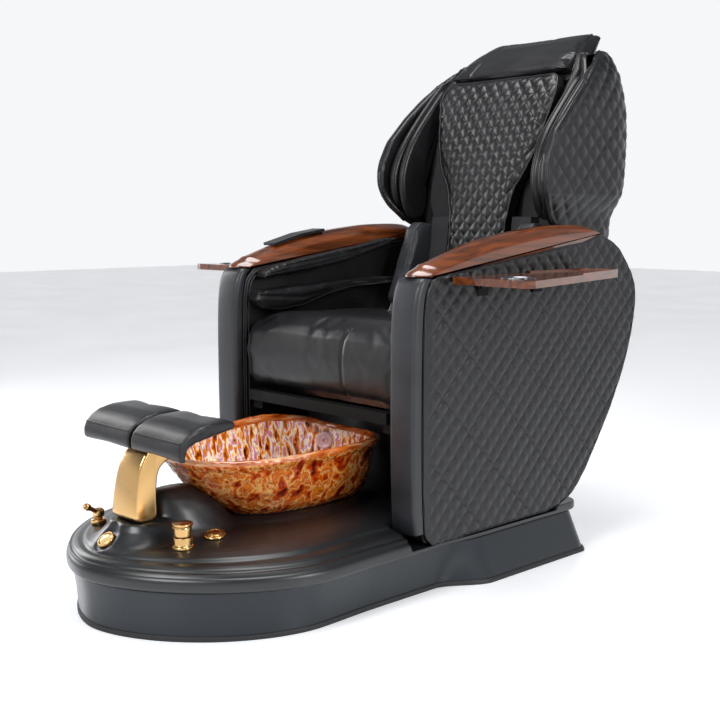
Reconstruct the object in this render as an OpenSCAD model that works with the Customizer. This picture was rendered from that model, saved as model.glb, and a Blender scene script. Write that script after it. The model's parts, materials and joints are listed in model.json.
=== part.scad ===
// Pedicure spa chair: a glass foot bowl on a moulded pedestal, with an
// upholstered massage seat between two quilted arms. Millimetres.
// Origin: centre of the underside of the base. +Z up, the sitter faces -Y,
// +X is the sitter's left.

/* [Base] */
// Half width of the base at its rounded nose, on the floor
nose_half_w = 328; // [310:1:340]
// Length of the rounded nose, from its widest line to its tip, on the floor
nose_len = 342; // [325:1:350]
// Line across the base at which the nose begins to round
nose_y = -250; // [-260:1:-240]
// Half width of the base at the rear, on the floor
rear_half_w = 385; // [375:1:390]
// Rear edge of the base on the floor
rear_y = 627; // [615:1:635]
// Height of the skirt, up to the deck's lip
skirt_h = 108; // [106:1:108]
// Height of the flat top of the deck
deck_top = 173; // [172:1:174]
// Wall of the moulded base shells
shell_t = 5; // [4:1:6]

/* [Foot bowl] */
// Half width of the bowl at its rim
bowl_half_w = 170; // [160:1:176]
// Half length of the bowl at its rim
bowl_half_l = 277; // [270:1:280]
// Centre of the bowl, front to back
bowl_y = -106; // [-108:1:-102]
// Underside of the bowl
bowl_z = 186; // [185:1:188]
// Glass wall
glass_t = 9; // [7:1:10]

/* [Footrest] */
// Width of both foot pads together
foot_pads_w = 384; // [360:2:400]
// Width of the post at the deck
post_foot_w = 96; // [88:1:100]
// Width of the post at its head
post_head_w = 76; // [72:1:80]
// Pivot pin of the footrest
foot_pin_r = 5; // [4:0.5:6]

/* [Arms] */
// Inner face of each arm, from the centre line
arm_in = 280; // [279:1:284]
// Outer face of each arm, from the centre line
arm_out = 360; // [352:1:364]
// Thickness of the quilted outer panel
panel_t = 14; // [12:1:16]
// Thickness of the smooth inner panel
lining_t = 9; // [8:1:10]
// Depth of the smooth band on the front of each arm
band_d = 26; // [22:1:30]
// How far the forearm air bags stand out from the arm
arm_bag_t = 46; // [40:1:47]

/* [Trays] */
// Height of a tray's top face
tray_top = 720; // [716:1:722]
// Thickness of a tray
tray_t = 16; // [14:1:18]
// Radius of the cup holder opening
cup_r = 36; // [34:0.5:38]

/* [Seat and back] */
// Half width of the seat cushion
seat_half_w = 270; // [262:1:272]
// Height of the recline pivot
pivot_z = 440; // [438:1:442]
// Recline pivot, front to back
pivot_y = 560; // [558:1:562]
// Half width of the back shell at the shoulders
shoulder_half_w = 300; // [290:1:302]
// Half width of the back shell between the arms
waist_half_w = 264; // [258:1:266]
// Wall of the back shell
back_wall = 20; // [16:1:22]
// Thickness of the quilted back pad
pad_t = 42; // [38:1:43]

/* [Hidden] */
$fn = 48;

black = [0.09, 0.09, 0.10];
leather_grey = [0.22, 0.22, 0.24];
gold = [0.78, 0.62, 0.38];
steel = [0.62, 0.63, 0.66];
walnut = [0.36, 0.17, 0.09];
amber = [0.85, 0.42, 0.12, 0.75];
slate = [0.24, 0.28, 0.33];

fit = 0.05;       // radial running clearance of a shaft
gap = 0.4;        // clearance between sliding parts
eps = 0.01;

// ---- helpers ----
function smooth(t) = let (c = max(0, min(1, t))) c * c * (3 - 2 * c);
function lerp(a, b, t) = a + (b - a) * t;
// value at x of the broken line through the points [[x, value], ...]
function along(pts, x) = lookup(x, pts);
function mirrored(half) = concat(half, [for (i = [len(half) - 1:-1:0]) [-half[i][0], half[i][1]]]);
function lift(outline, z) = [for (p = outline) [p[0], p[1], z]];

// Solid between rings that have the same number of points, counter-clockwise, bottom to top
module loft(rings) {
  n = len(rings[0]);
  m = len(rings);
  polyhedron(
    points = [for (r = rings) each r],
    faces = concat(
      [[for (i = [0:n - 1]) i]],
      [for (k = [0:m - 2], i = [0:n - 1])
        let (a = k * n + i, b = k * n + (i + 1) % n) [a, a + n, b + n, b]],
      [[for (i = [n - 1:-1:0]) (m - 1) * n + i]]));
}

// Solid ring whose cross section runs through the given rings in turn and closes on the first
module band(rings) {
  n = len(rings[0]);
  m = len(rings);
  polyhedron(
    points = [for (r = rings) each r],
    faces = [for (k = [0:m - 1], i = [0:n - 1])
      let (j = (i + 1) % n, l = (k + 1) % m) each
        [[k * n + i, l * n + i, l * n + j], [k * n + i, l * n + j, k * n + j]]]);
}

// A side profile, given as [y, z] points, extruded from x0 to x1
module slab(profile, x0, x1)
  translate([x0, 0, 0]) rotate([90, 0, 90]) linear_extrude(x1 - x0) polygon(profile);

// Both the left and the right one
module both() {
  children();
  mirror([1, 0, 0]) children();
}

module tube_x(x0, x1, y, z, r) translate([x0, y, z]) rotate([0, 90, 0]) cylinder(h = x1 - x0, r = r);
module tube_y(y0, y1, x, z, r) translate([x, y0, z]) rotate([-90, 0, 0]) cylinder(h = y1 - y0, r = r);
module tube_z(z0, z1, x, y, r) translate([x, y, z0]) cylinder(h = z1 - z0, r = r);

// ---- base ----
waist_y = 105;          // where the base begins to widen towards the rear
widen_len = 135;        // length over which it widens
corner_r = 40;          // rear corners
nose_n = 1.75;          // roundness of the nose: below 2 it comes to a prow

// Outline of the base: half width w and length l of the nose, half width wr and edge yr of the rear
function base_half(w, l, wr, yr, n) = concat(
  [for (t = [3:6:87]) [w * pow(sin(t), 2 / n), nose_y - l * pow(cos(t), 2 / n)]],
  [for (y = [-190, -90, 0, 60, waist_y]) [w - (y > -100 ? 6 : 2), y]],
  [for (k = [1:6]) [lerp(w - 6, wr, smooth(k / 6)), waist_y + widen_len * k / 6]],
  [[wr, 400]],
  [for (a = [0:22.5:90]) [wr - corner_r + corner_r * cos(a), yr - corner_r + corner_r * sin(a)]]);
function base_ring(z, w, l, wr, yr, n = nose_n) = lift(mirrored(base_half(w, l, wr, yr, n)), z);

// Skirt: leans out towards the deck at the nose and in towards it at the rear
function skirt_ring(z, inset) = let (t = z / skirt_h) base_ring(z,
  lerp(nose_half_w, 350, t) - inset, lerp(nose_len, 354, t) - inset,
  lerp(rear_half_w, 356, t) - inset, lerp(rear_y, 600, t) - inset);

module floor_pan() color(steel)
  linear_extrude(4) polygon([for (p = skirt_ring(0, 9)) [p[0], p[1]]]);

pipe_x = -150;          // waste pipe
inlet_x = 70;           // hot and cold inlets, either side of the centre
stub_z = 46;            // height of the pipe stubs at the rear
stub_end = 650;
spigot_y = 622;         // where the stubs thicken, outside the skirt
waste_r = 19;

module skirt() color(slate) difference() {
  band([skirt_ring(0, 0), skirt_ring(skirt_h, 0), skirt_ring(skirt_h, shell_t),
    skirt_ring(0, shell_t)]);
  tube_y(560, 700, pipe_x, stub_z, waste_r + 3);
  for (s = [-1, 1]) tube_y(560, 700, s * inlet_x, stub_z, 14);
}

trim_h = 20;
module kick_trim() color(black) band([skirt_ring(0, -4.5), skirt_ring(trim_h, -4.5),
  skirt_ring(trim_h, -2), skirt_ring(0, -2)]);

// Steps of the deck: [height, nose half width, nose length, rear half width, rear edge]
deck_steps = [
  [skirt_h, 364, 362, 362, 612], [111, 367, 366, 364, 614], [131, 367, 366, 364, 612],
  [137, 360, 360, 356, 606], [142, 345, 354, 340, 592], [152, 338, 349, 332, 588],
  [156, 325, 342, 322, 584], [158, 304, 331, 302, 582], [166, 293, 325, 291, 580],
  [171, 266, 311, 264, 578], [deck_top, 244, 299, 242, 576]];
deck_inside = [
  [skirt_h - eps, 352, 352, 350, 600], [124, 352, 352, 350, 600], [134, 330, 342, 328, 582],
  [150, 292, 322, 292, 574], [161, 254, 304, 254, 570], [166, 232, 290, 232, 566]];
function deck_ring(s) = base_ring(s[0], s[1], s[2], s[3], s[4], 1.7);

// Raised boss under the post, and the ridge that cradles the front of the bowl:
// [height, centre y, half width, half length]
boss_steps = [[150, -450, 138, 132], [165, -452, 114, 120], [185, -454, 93, 98],
  [200, -458, 79, 78], [209, -466, 70, 66], [213, -472, 66, 56]];
ridge_steps = [[150, -352, 118, 128], [173, -352, 100, 112], [185, -354, 88, 104],
  [205, -358, 76, 94], [228, -364, 62, 84], [248, -374, 46, 70], [260, -382, 32, 56],
  [267, -388, 20, 40], [269, -390, 10, 24]];
function oval(a, b, cy, z, n = 2.2, steps = 40) = [for (i = [0:steps - 1])
  let (t = i * 360 / steps, c = cos(t), s = sin(t))
    [a * sign(c) * pow(abs(c), 2 / n), cy + b * sign(s) * pow(abs(s), 2 / n), z]];

nose_tilt = 38;         // slope of the boss in front of the post
nose_pos = [0, -553, 178];

module nose_place() translate(nose_pos) rotate([nose_tilt, 0, 0]) children();

// The air button lies on the flank of the ridge, leaning outwards and forwards
module air_place() translate([118, -362, 176]) rotate(a = 11, v = [0.686, 0.727, 0]) children();

// Flat seat of the bowl, a low oval platform
platform = [[165, 150, 250], [178, 136, 226], [bowl_z - 2, 124, 206]];
platform_y = -56;
drain_y = -95;

module spot_face(r_hole, r_face) union() {
  translate([0, 0, -30]) cylinder(h = 60, r = r_hole);
  cylinder(h = 30, r = r_face);
}

module deck() color(black) difference() {
  union() {
    difference() {
      loft([for (s = deck_steps) deck_ring(s)]);
      loft([for (s = deck_inside) deck_ring(s)]);
    }
    loft([for (s = boss_steps) oval(s[2], s[3], s[1], s[0])]);
    loft([for (s = ridge_steps) oval(s[2], s[3], s[1], s[0])]);
    loft([for (s = platform) oval(s[1], s[2], platform_y, s[0], 2.4)]);
    air_place() translate([0, 0, -14]) cylinder(h = 14, r = 27);
  }
  // the arms stand outside the upper deck
  both() translate([arm_in - 1, -4, skirt_h + 10.5]) cube([120, 526, 200]);
  both() translate([arm_in - 1, 500, 129.5]) cube([120, 200, 200]);
  // the ridge is hollowed to the bowl's own shape
  bowl_outer(1.5);
  tube_z(100, 300, 0, drain_y, 30);
  tube_z(sprayer_z, 300, sprayer[0], sprayer[1], 17.5);
  air_place() spot_face(19, 24.5);
  nose_place() spot_face(16, 20.4);
}

// ---- foot bowl ----
// Wall of the bowl at the height h above its underside: [half width, centre y, half length]
bowl_rim_h = 142;
function bowl_level(h) = let (
    k = h / bowl_rim_h,
    a = bowl_half_w * along([[0, 0.62], [0.13, 0.74], [0.45, 0.87], [0.8, 0.955], [1, 1]], k),
    yf = bowl_y - bowl_half_l * along([[0, 0.50], [0.13, 0.60], [0.45, 0.80], [0.8, 0.945], [1, 1]], k),
    yr = bowl_y + bowl_half_l * along([[0, 0.89], [0.13, 0.92], [0.45, 0.95], [0.8, 0.97], [1, 1]], k))
  [a, (yr + yf) / 2, (yr - yf) / 2];

// The rim rises along the sitter's right side and dips at the rear
rim_right = [[-283, 0], [-165, 10], [-47, 23], [-4, 26], [33, 23], [94, 16], [119, 10], [139, 0],
  [160, -7], [176, -10]];
rim_left = [[90, 0], [150, -7], [176, -10]];
function rim_rise(p) = along(p[0] < 0 ? rim_right : rim_left, p[1]);
function bowl_ring(h, grow, rise = 0) = let (b = bowl_level(h))
  [for (p = oval(b[0] + grow, b[2] + grow, b[1], bowl_z + h, 2.5, 48))
    [p[0], p[1], p[2] + rise * rim_rise(p)]];
wall_heights = [0, 8, 24, 48, 76, 104];
rim_roll = 9;

module bowl_outer(grow) translate([0, 0, -grow])
  loft([for (h = concat(wall_heights, [118])) bowl_ring(h, grow)]);

jet_x = -87;
jet_z = 284;
jet_wall_y = 137;       // outside of the glass behind the jet
jet_tilt = 10;
jet_turn = 37.5;        // the wall curves round behind the jet

module jet_place() translate([jet_x, jet_wall_y, jet_z]) rotate([90 - jet_tilt, 0, jet_turn])
  children();

// Up the outside, over the rolled rim, and down the inside
module bowl() color(amber) difference() {
  loft(concat([for (h = concat(wall_heights, [110])) bowl_ring(h, 0)],
    [bowl_ring(118, 1, 0.3), bowl_ring(126, rim_roll - 2, 0.65), bowl_ring(133, rim_roll, 1),
      bowl_ring(bowl_rim_h, rim_roll - 1, 1), bowl_ring(bowl_rim_h + 5, 2, 1),
      bowl_ring(bowl_rim_h + 4, 4 - glass_t, 1), bowl_ring(133, -glass_t, 1),
      bowl_ring(118, -glass_t, 0.3)],
    [for (h = [110, 104, 76, 48, 24, 12]) bowl_ring(h, -glass_t)]));
  tube_z(100, 400, 0, drain_y, 24);
  jet_place() translate([0, 0, -40]) cylinder(h = 80, r = 17);
}

module bowl_gasket() color(black) translate([0, 0, bowl_z - 2]) difference() {
  linear_extrude(1.9) polygon([for (p = bowl_ring(0, -4)) [p[0], p[1]]]);
  translate([0, 0, -1]) linear_extrude(4) polygon([for (p = bowl_ring(0, -14)) [p[0], p[1]]]);
}

// Strainer flange in the floor of the bowl, with its threaded tail
floor_top = bowl_z + 12;
module drain_strainer() color(gold) translate([0, drain_y, 0]) difference() {
  union() {
    tube_z(floor_top, floor_top + 3, 0, 0, 33);
    tube_z(128, floor_top + 1, 0, 0, 23.5);
  }
  tube_z(120, 220, 0, 0, 19);
}

plug_travel = 9;
module drain_plug() color(gold) translate([0, drain_y, 0]) union() {
  tube_z(floor_top + 3.4, floor_top + 8, 0, 0, 25);
  tube_z(150, floor_top + 4, 0, 0, 4);
  difference() {
    tube_z(150, 156, 0, 0, 18.6);
    for (a = [0:90:270]) rotate(a) tube_z(149, 157, 11, 0, 5);
  }
}

// Waste pipe: down from the strainer, round two bends and out at the rear
bend_r = 45;
module pipe_bend(r) rotate_extrude(angle = 90) translate([bend_r, 0]) circle(r = r);
module pipe_run(r, over) union() {
  tube_z(stub_z + bend_r, 124 + over, 0, drain_y, r);
  translate([-bend_r, drain_y, stub_z + bend_r]) rotate([-90, 0, 0]) pipe_bend(r);
  tube_x(pipe_x + bend_r, -bend_r, drain_y, stub_z, r);
  translate([pipe_x + bend_r, drain_y + bend_r, stub_z]) rotate([0, 0, 180]) pipe_bend(r);
  tube_y(drain_y + bend_r, stub_end + over, pipe_x, stub_z, r);
}
module drain_pipe() color([0.85, 0.85, 0.83]) difference() {
  union() {
    tube_z(120, 150, 0, drain_y, 28);
    pipe_run(waste_r, 0);
    tube_y(spigot_y, stub_end, pipe_x, stub_z, waste_r + 1.5);
  }
  tube_z(124, 151, 0, drain_y, 23.7);
  pipe_run(waste_r - 3, 1);
}

// Whirlpool jet: motor behind the glass, impeller and cap inside the bowl
module jet_motor() color(leather_grey) jet_place() difference() {
  union() {
    difference() {
      union() {
        translate([0, 0, -46]) cylinder(h = 41, r = 19);
        translate([0, 0, -6]) cylinder(h = 3, r = 21);
      }
      // cut flat below the rolled rim
      translate([-40, 13.5, -60]) cube([80, 40, 60]);
    }
    translate([0, 0, -4]) cylinder(h = 16, r = 16.5);
  }
  translate([0, 0, -2]) cylinder(h = 40, r = 13.5);
  translate([0, 0, -20]) cylinder(h = 60, r = 3 + fit);
}
module jet_impeller() color(leather_grey) jet_place() union() {
  translate([0, 0, -18]) cylinder(h = 28, r = 3);
  cylinder(h = 7, r = 5);
  for (a = [0:60:300]) rotate(a) translate([4, -1, 0]) cube([8, 2, 7]);
}
module jet_cap() color(gold) jet_place() difference() {
  union() {
    translate([0, 0, 12.8]) cylinder(h = 4, r = 22);
    translate([0, 0, 10.2]) cylinder(h = 3, r = 13);
  }
  for (a = [0:60:300]) rotate(a) translate([8.5, 0, 8]) cylinder(h = 20, r = 2.2);
  translate([0, 0, 8]) cylinder(h = 20, r = 3.6);
}

// ---- footrest ----
foot_pin = [-430, 366];
post_profile = [[-513, 213], [-511, 250], [-505, 290], [-496, 325], [-482, 351], [-466, 369],
  [-448, 380], [-425, 386], [-402, 387], [-399, 352], [-412, 341], [-432, 333], [-448, 318],
  [-454, 288], [-456, 250], [-456, 213]];

module footrest_post() color(gold) difference() {
  intersection() {
    slab(post_profile, -60, 60);
    translate([0, -600, 0]) rotate([90, 0, 180]) linear_extrude(300)
      polygon([[-post_foot_w / 2, 200], [post_foot_w / 2, 200], [post_foot_w / 2 - 3, 260],
        [post_head_w / 2, 400], [-post_head_w / 2, 400], [-post_foot_w / 2 + 3, 260]]);
  }
  translate([-15, -480, 348]) cube([30, 100, 60]);
  tube_x(-60, 60, foot_pin[0], foot_pin[1], foot_pin_r);
}

module footrest_pin() color(gold) union() {
  tube_x(-post_head_w / 2 + 1, post_head_w / 2 + 4, foot_pin[0], foot_pin[1], foot_pin_r);
  tube_x(post_head_w / 2 + 3, post_head_w / 2 + 9, foot_pin[0], foot_pin[1], 9);
}

pad_slope = 12;
module foot_frame() translate([0, foot_pin[0], foot_pin[1]]) rotate([pad_slope, 0, 0]) children();

module footrest_bracket() color(gold) foot_frame() difference() {
  union() {
    translate([-14.4, 0, 0]) rotate([0, 90, 0]) cylinder(h = 28.8, r = 12);
    translate([-14.4, -11, 0]) cube([28.8, 22, 29]);
    translate([-150, -36, 26]) cube([300, 112, 4]);
  }
  translate([-60, 0, 0]) rotate([0, 90, 0]) cylinder(h = 120, r = foot_pin_r + fit);
}

// Foot pad: flat at the rear, rolling over at the front
foot_pad_profile = [[-62, 5], [-52, 4], [-38, 30.4], [86, 30.4], [92, 36], [92, 44], [84, 52],
  [60, 57], [20, 63], [-10, 62], [-36, 55], [-54, 44], [-64, 30], [-68, 14]];
module foot_pad(x0, x1) color(black) foot_frame() slab(foot_pad_profile, x0, x1);
module left_foot_pad() foot_pad(1.5, foot_pads_w / 2);
module right_foot_pad() foot_pad(-foot_pads_w / 2, -1.5);

// ---- fittings on the deck ----
faucet = [137, -456];
module faucet_base() color(gold) translate([faucet[0], faucet[1], deck_top]) difference() {
  union() {
    cylinder(h = 7, r = 24);
    cylinder(h = 24, r = 20);
  }
  translate([0, 0, 10]) cylinder(h = 20, r = 8 + fit);
}
module faucet_handle() color(gold) translate([faucet[0], faucet[1], deck_top]) union() {
  translate([0, 0, 12]) cylinder(h = 13, r = 8);
  translate([0, 0, 24.4]) cylinder(h = 23, r = 19);
  translate([0, 0, 46]) cylinder(h = 8, r = 22);
  translate([-14, 0, 36]) rotate([0, -90, 0]) cylinder(h = 14, r = 5);
  translate([-28, 0, 36]) sphere(r = 6.5);
}

sprayer = [-150, -484];
sprayer_z = 169;        // its holder stands in a shallow seat in the deck
module sprayer_holder() color(gold) translate([sprayer[0], sprayer[1], sprayer_z]) difference() {
  cylinder(h = 14, r = 17);
  translate([0, 0, 4]) cylinder(h = 20, r = 9.2);
}
module hand_sprayer() color(gold) translate([sprayer[0], sprayer[1], sprayer_z]) union() {
  translate([0, 0, 5]) cylinder(h = 16, r = 9);
  translate([0, 0, 20]) cylinder(h = 16, r = 13);
  translate([0, 0, 28]) rotate([62, 0, 25]) cylinder(h = 48, r = 6);
  translate([0, 0, 28]) rotate([62, 0, 25]) translate([0, 0, 42]) cylinder(h = 12, r = 8);
}

button_travel = 4;
module bezel(r_in, r_out, h) difference() {
  cylinder(h = h, r = r_out);
  translate([0, 0, -1]) cylinder(h = h + 2, r = r_in);
}
module button_bezels() color(gold) union() {
  air_place() bezel(18.2, 24, 6);
  nose_place() bezel(15.2, 20, 7);
}
module air_button() color(gold) air_place() union() {
  cylinder(h = 8, r = 18);
  translate([0, 0, -14]) cylinder(h = 15, r = 6);
}
module nose_button() color([0.8, 0.8, 0.78]) nose_place() union() {
  cylinder(h = 8, r = 15);
  translate([0, 0, -14]) cylinder(h = 15, r = 6);
}

// ---- inside the base and under the seat ----
stand_top = 384;
module seat_stand() color(steel) both() union() {
  translate([250, 236, deck_top]) cube([8, 316, stand_top - deck_top - 24]);
  translate([206, 236, deck_top]) cube([52, 40, 5]);
  translate([206, 512, deck_top]) cube([52, 40, 5]);
  translate([222, 40, stand_top - 24]) cube([36, 512, 24]);
}

fascia_y = 214;
module fascia_panel() color(black) union() {
  translate([-248, fascia_y, deck_top]) cube([496, 8, 178]);
  translate([-200, fascia_y + 7, deck_top]) cube([400, 12, 12]);
}
module rear_panel() color(black) difference() {
  translate([-276, 560, deck_top]) cube([552, 10, 209]);
  translate([-26, 550, motor_z - 28]) cube([52, 40, 100]);
}

module power_box() color(leather_grey) translate([-205, 400, deck_top + 0.5]) difference() {
  cube([120, 110, 90]);
  translate([20, 100, 20]) cube([50, 20, 30]);
}

// Mixing valve with its hot and cold inlets and the outlet towards the faucet
module mixing_valve() color(gold) union() {
  translate([-95, 540, stub_z - 22]) cube([190, 32, 44]);
  for (s = [-1, 1]) {
    tube_y(571, stub_end, s * inlet_x, stub_z, 9);
    tube_y(spigot_y, stub_end, s * inlet_x, stub_z, 10.4);
  }
  tube_z(stub_z + 20, stub_z + 52, 0, 556, 12);
}

// ---- arms ----
arm_front = [[8, 150], [2, 250], [0, 400], [0, 560], [3, 650], [12, 695], [28, 718]];
arm_rest = [[46, 721], [300, 750], [537, 780], [600, 786], [640, 797], [670, 806], [694, 800],
  [730, 786], [762, 768], [794, 738], [820, 704], [836, 676], [842, 650], [841, 610],
  [832, 560], [812, 496], [780, 424], [737, 350], [687, 276], [640, 212], [604, 172],
  [574, 148], [535, 132], [480, 124], [85, 119], [38, 119]];
function shift_y(pts, d) = [for (p = pts) [p[0] + d, p[1]]];
function reverse(pts) = [for (i = [len(pts) - 1:-1:0]) pts[i]];
band_back = [for (p = arm_front) [p[0] + band_d, min(p[1], 718)]];
panel_outline = concat([for (p = arm_front) [p[0] + band_d + 0.3, p[1]]],
  [for (p = arm_rest) if (p[0] > 60) p], [[62, 119]]);
core_outline = [[36, 165], [32, 400], [34, 640], [60, 706], [300, 738], [540, 766], [670, 790],
  [744, 764], [802, 700], [828, 640], [822, 582], [764, 432], [672, 286], [582, 172],
  [480, 140], [70, 134]];

module arm_band() slab(concat(arm_front, reverse(band_back)), arm_in, arm_out);
module arm_panel() slab(panel_outline, arm_out - panel_t, arm_out);
module arm_lining() slab(panel_outline, arm_in, arm_in + lining_t);
module arm_core() slab(core_outline, arm_in + lining_t + 0.3, arm_out - panel_t - 0.3);

module arm_frames() color(steel) both() arm_core();
module arm_linings() color(black) both() arm_lining();
module left_arm_panel() color(black) arm_panel();
module right_arm_panel() color(black) mirror([1, 0, 0]) arm_panel();
module left_arm_band() color(leather_grey) arm_band();
module right_arm_band() color(leather_grey) mirror([1, 0, 0]) arm_band();

// Forearm air bags: a long upper flap and a leaf-shaped lower one
upper_bag = [[60, 692], [250, 714], [400, 742], [480, 764], [548, 790], [520, 791], [400, 770],
  [250, 748], [120, 728], [66, 712]];
lower_bag = [[34, 640], [60, 612], [120, 607], [190, 614], [280, 640], [380, 660], [555, 668],
  [555, 680], [400, 682], [200, 672], [90, 668], [46, 662]];
module arm_bags() union() {
  slab(upper_bag, arm_in - arm_bag_t, arm_in - 0.3);
  slab(lower_bag, arm_in - arm_bag_t, arm_in - 0.3);
}
module left_arm_bags() color(black) arm_bags();
module right_arm_bags() color(black) mirror([1, 0, 0]) arm_bags();

// Wooden arm top: a long lens, thickest towards the rear
wood_profile = [[19, 722.5], [46, 721.3], [300, 750.3], [537, 780.3], [600, 786.3], [640, 797.3],
  [676, 808.7], [679, 811], [640, 829], [486, 829], [360, 816], [244, 798], [130, 769], [60, 744],
  [24, 730]];
module arm_top() slab(wood_profile, arm_in, arm_out);
module left_arm_top() color(walnut) arm_top();
module right_arm_top() color(walnut) mirror([1, 0, 0]) arm_top();

// Slim control panel lying on the sitter's right arm top
module control_panel() color(black) slab([[150, 774.6], [244, 798.6], [323, 811], [322, 818],
  [243, 806.5], [147, 781.5]], -346, -296);

// ---- trays ----
hinge_x = arm_out + 9;
hinge_z = tray_top - tray_t - 7;
cup = [502, 168];
tray_plan = [[366, 112], [372, 106], [566, 97], [586, 102], [590, 118], [462, 606], [446, 614],
  [374, 590], [366, 580]];
knuckles = [[200, 236], [400, 436]];    // arm knuckles along y; the tray's lie just inside them
pin_r = 4;

module tray() difference() {
  union() {
    translate([0, 0, tray_top - tray_t]) linear_extrude(tray_t) polygon(tray_plan);
    translate([0, 0, tray_top - 1]) linear_extrude(5) difference() {
      polygon([[430, 380], [521, 380], [462, 606], [446, 614], [374, 590], [366, 580], [366, 380]]);
      polygon([[371, 374], [516, 374], [457, 602], [446, 608], [378, 586], [371, 577]]);
    }
    translate([hinge_x - 3, 240, tray_top - tray_t - 5]) cube([22, 156, 6]);
    tube_y(240, 396, hinge_x, hinge_z, 7);
  }
  tube_y(90, 700, hinge_x, hinge_z, pin_r + fit);
  tube_z(600, 800, cup[0], cup[1], cup_r + 3);
}
module left_tray() color(walnut) tray();
module right_tray() color(walnut) mirror([1, 0, 0]) tray();

module cup_ring() translate([cup[0], cup[1], 0]) difference() {
  union() {
    tube_z(tray_top - tray_t, tray_top + 1, 0, 0, cup_r + 3);
    tube_z(tray_top + 0.3, tray_top + 3, 0, 0, cup_r + 7);
  }
  tube_z(600, 800, 0, 0, cup_r);
}
module left_cup_ring() color(steel) cup_ring();
module right_cup_ring() color(steel) mirror([1, 0, 0]) cup_ring();

module tray_bracket() difference() {
  union() for (k = knuckles) {
    tube_y(k[0], k[1], hinge_x, hinge_z, 7);
    translate([arm_out + 0.2, k[0], hinge_z - 24]) cube([4, k[1] - k[0], 28]);
    translate([arm_out + 0.2, k[0], hinge_z - 5]) cube([9, k[1] - k[0], 7]);
  }
  tube_y(90, 700, hinge_x, hinge_z, pin_r);
}
module tray_brackets() color(steel) both() tray_bracket();
module tray_pins() color(steel) both() tube_y(198, 438, hinge_x, hinge_z, pin_r);

// ---- seat ----
cushion_profile = [[8, 520], [12, 450], [30, 418], [60, 411], [518, 411], [520, 585], [440, 594],
  [300, 600], [90, 602], [40, 592], [14, 564]];
module seat_cushion() color(black) slab(cushion_profile, -seat_half_w, seat_half_w);

car_z = stand_top + gap;
motor_z = 340;
module seat_carriage() color(steel) difference() {
  union() {
    both() translate([222, 20, car_z]) cube([30, 566, 26]);
    for (y = [20, 250, 490]) translate([-222, y, car_z]) cube([444, 30, 26]);
    both() translate([222, pivot_y - 20, car_z]) cube([8, 40, pivot_z - car_z + 18]);
    both() translate([14, 350, motor_z - 14]) cube([6, 24, car_z - motor_z + 16]);
    translate([-20, 270, car_z]) cube([40, 240, 6]);
  }
  tube_x(-300, 300, pivot_y, pivot_z, 8 + fit);
}

lever_drop = 92;                     // recline lever below the pivot
rod_y = pivot_y;
module recline_motor() color(leather_grey) difference() {
  union() {
    tube_y(332, 470, 0, motor_z, 13.8);
    translate([-13.8, 340, motor_z - 40]) cube([27.6, 60, 40]);
  }
  tube_y(396, 500, 0, motor_z, 8 + fit);
}
lever_z = pivot_z - lever_drop;
module recline_rod() color(steel) difference() {
  union() {
    tube_y(436, 520, 0, motor_z, 8);
    translate([-6, 516, motor_z - 14]) cube([12, 62, 36]);
  }
  hull() for (z = [lever_z - 4, lever_z + 9]) tube_x(-10, 10, rod_y, z, 6.5);
}

// ---- back, at its upright rest position ----
// Front face of the back pad: [z, y]
pad_line = [[585, 574], [787, 608], [917, 622], [990, 633], [1100, 660], [1188, 689], [1228, 716]];
function pad_y(z) = along(pad_line, z);
function strip(z0, z1, d0, d1, steps = 8) = concat(
  [for (i = [0:steps]) let (z = lerp(z0, z1, i / steps)) [pad_y(z) + d0, z]],
  [for (i = [steps:-1:0]) let (z = lerp(z0, z1, i / steps)) [pad_y(z) + d1, z]]);

frame_d = 108;          // distance of the frame behind the pad's face
car_at = 760;           // height of the massage carriage at rest
lift_slope = (633 - 574) / (990 - 585);
// A straight piece along the massage carriage's path, d0 to d1 behind the pad's face
function rail_y(z) = pad_y(car_at) + (z - car_at) * lift_slope;
function rail(z0, z1, d0, d1) = [[rail_y(z0) + d0, z0], [rail_y(z1) + d0, z1],
  [rail_y(z1) + d1, z1], [rail_y(z0) + d1, z0]];

module back_frame() color(steel) union() {
  both() slab(strip(500, 1180, frame_d, frame_d + 24), 192, 214);
  both() slab([[540, 426], [572, 420], [700, 500], [704, 560], [678, 560], [664, 500], [575, 462],
    [548, 462]], 205, 213);
  for (z = [520, 1150]) slab(strip(z, z + 28, frame_d, frame_d + 20, 1), -193, 193);
  // stand-offs to the shell
  both() slab([[700, 522], [700, 546], [832.5, 546], [822, 522]], 140, 160);
  both() slab([[803, 1152], [803, 1176], [919.5, 1176], [922.5, 1152]], 140, 160);
  // guide rails of the massage carriage, tied to the cross members
  both() slab(rail(524, 1170, frame_d - 16, frame_d - 6), 86, 96);
  both() slab([[665, 526], [684, 526], [684, 534], [665, 534]], 86, 96);
  both() slab([[756, 1156], [790, 1156], [790, 1164], [756, 1164]], 86, 96);
  // pivot shaft, and the lever that the recline rod pulls
  tube_x(-230, 230, pivot_y, pivot_z, 8);
  both() slab([[552, lever_z - 10], [568, lever_z - 10], [572, pivot_z], [548, pivot_z]], 7, 13);
  tube_x(-13, 13, rod_y, lever_z, 5);
}

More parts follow.
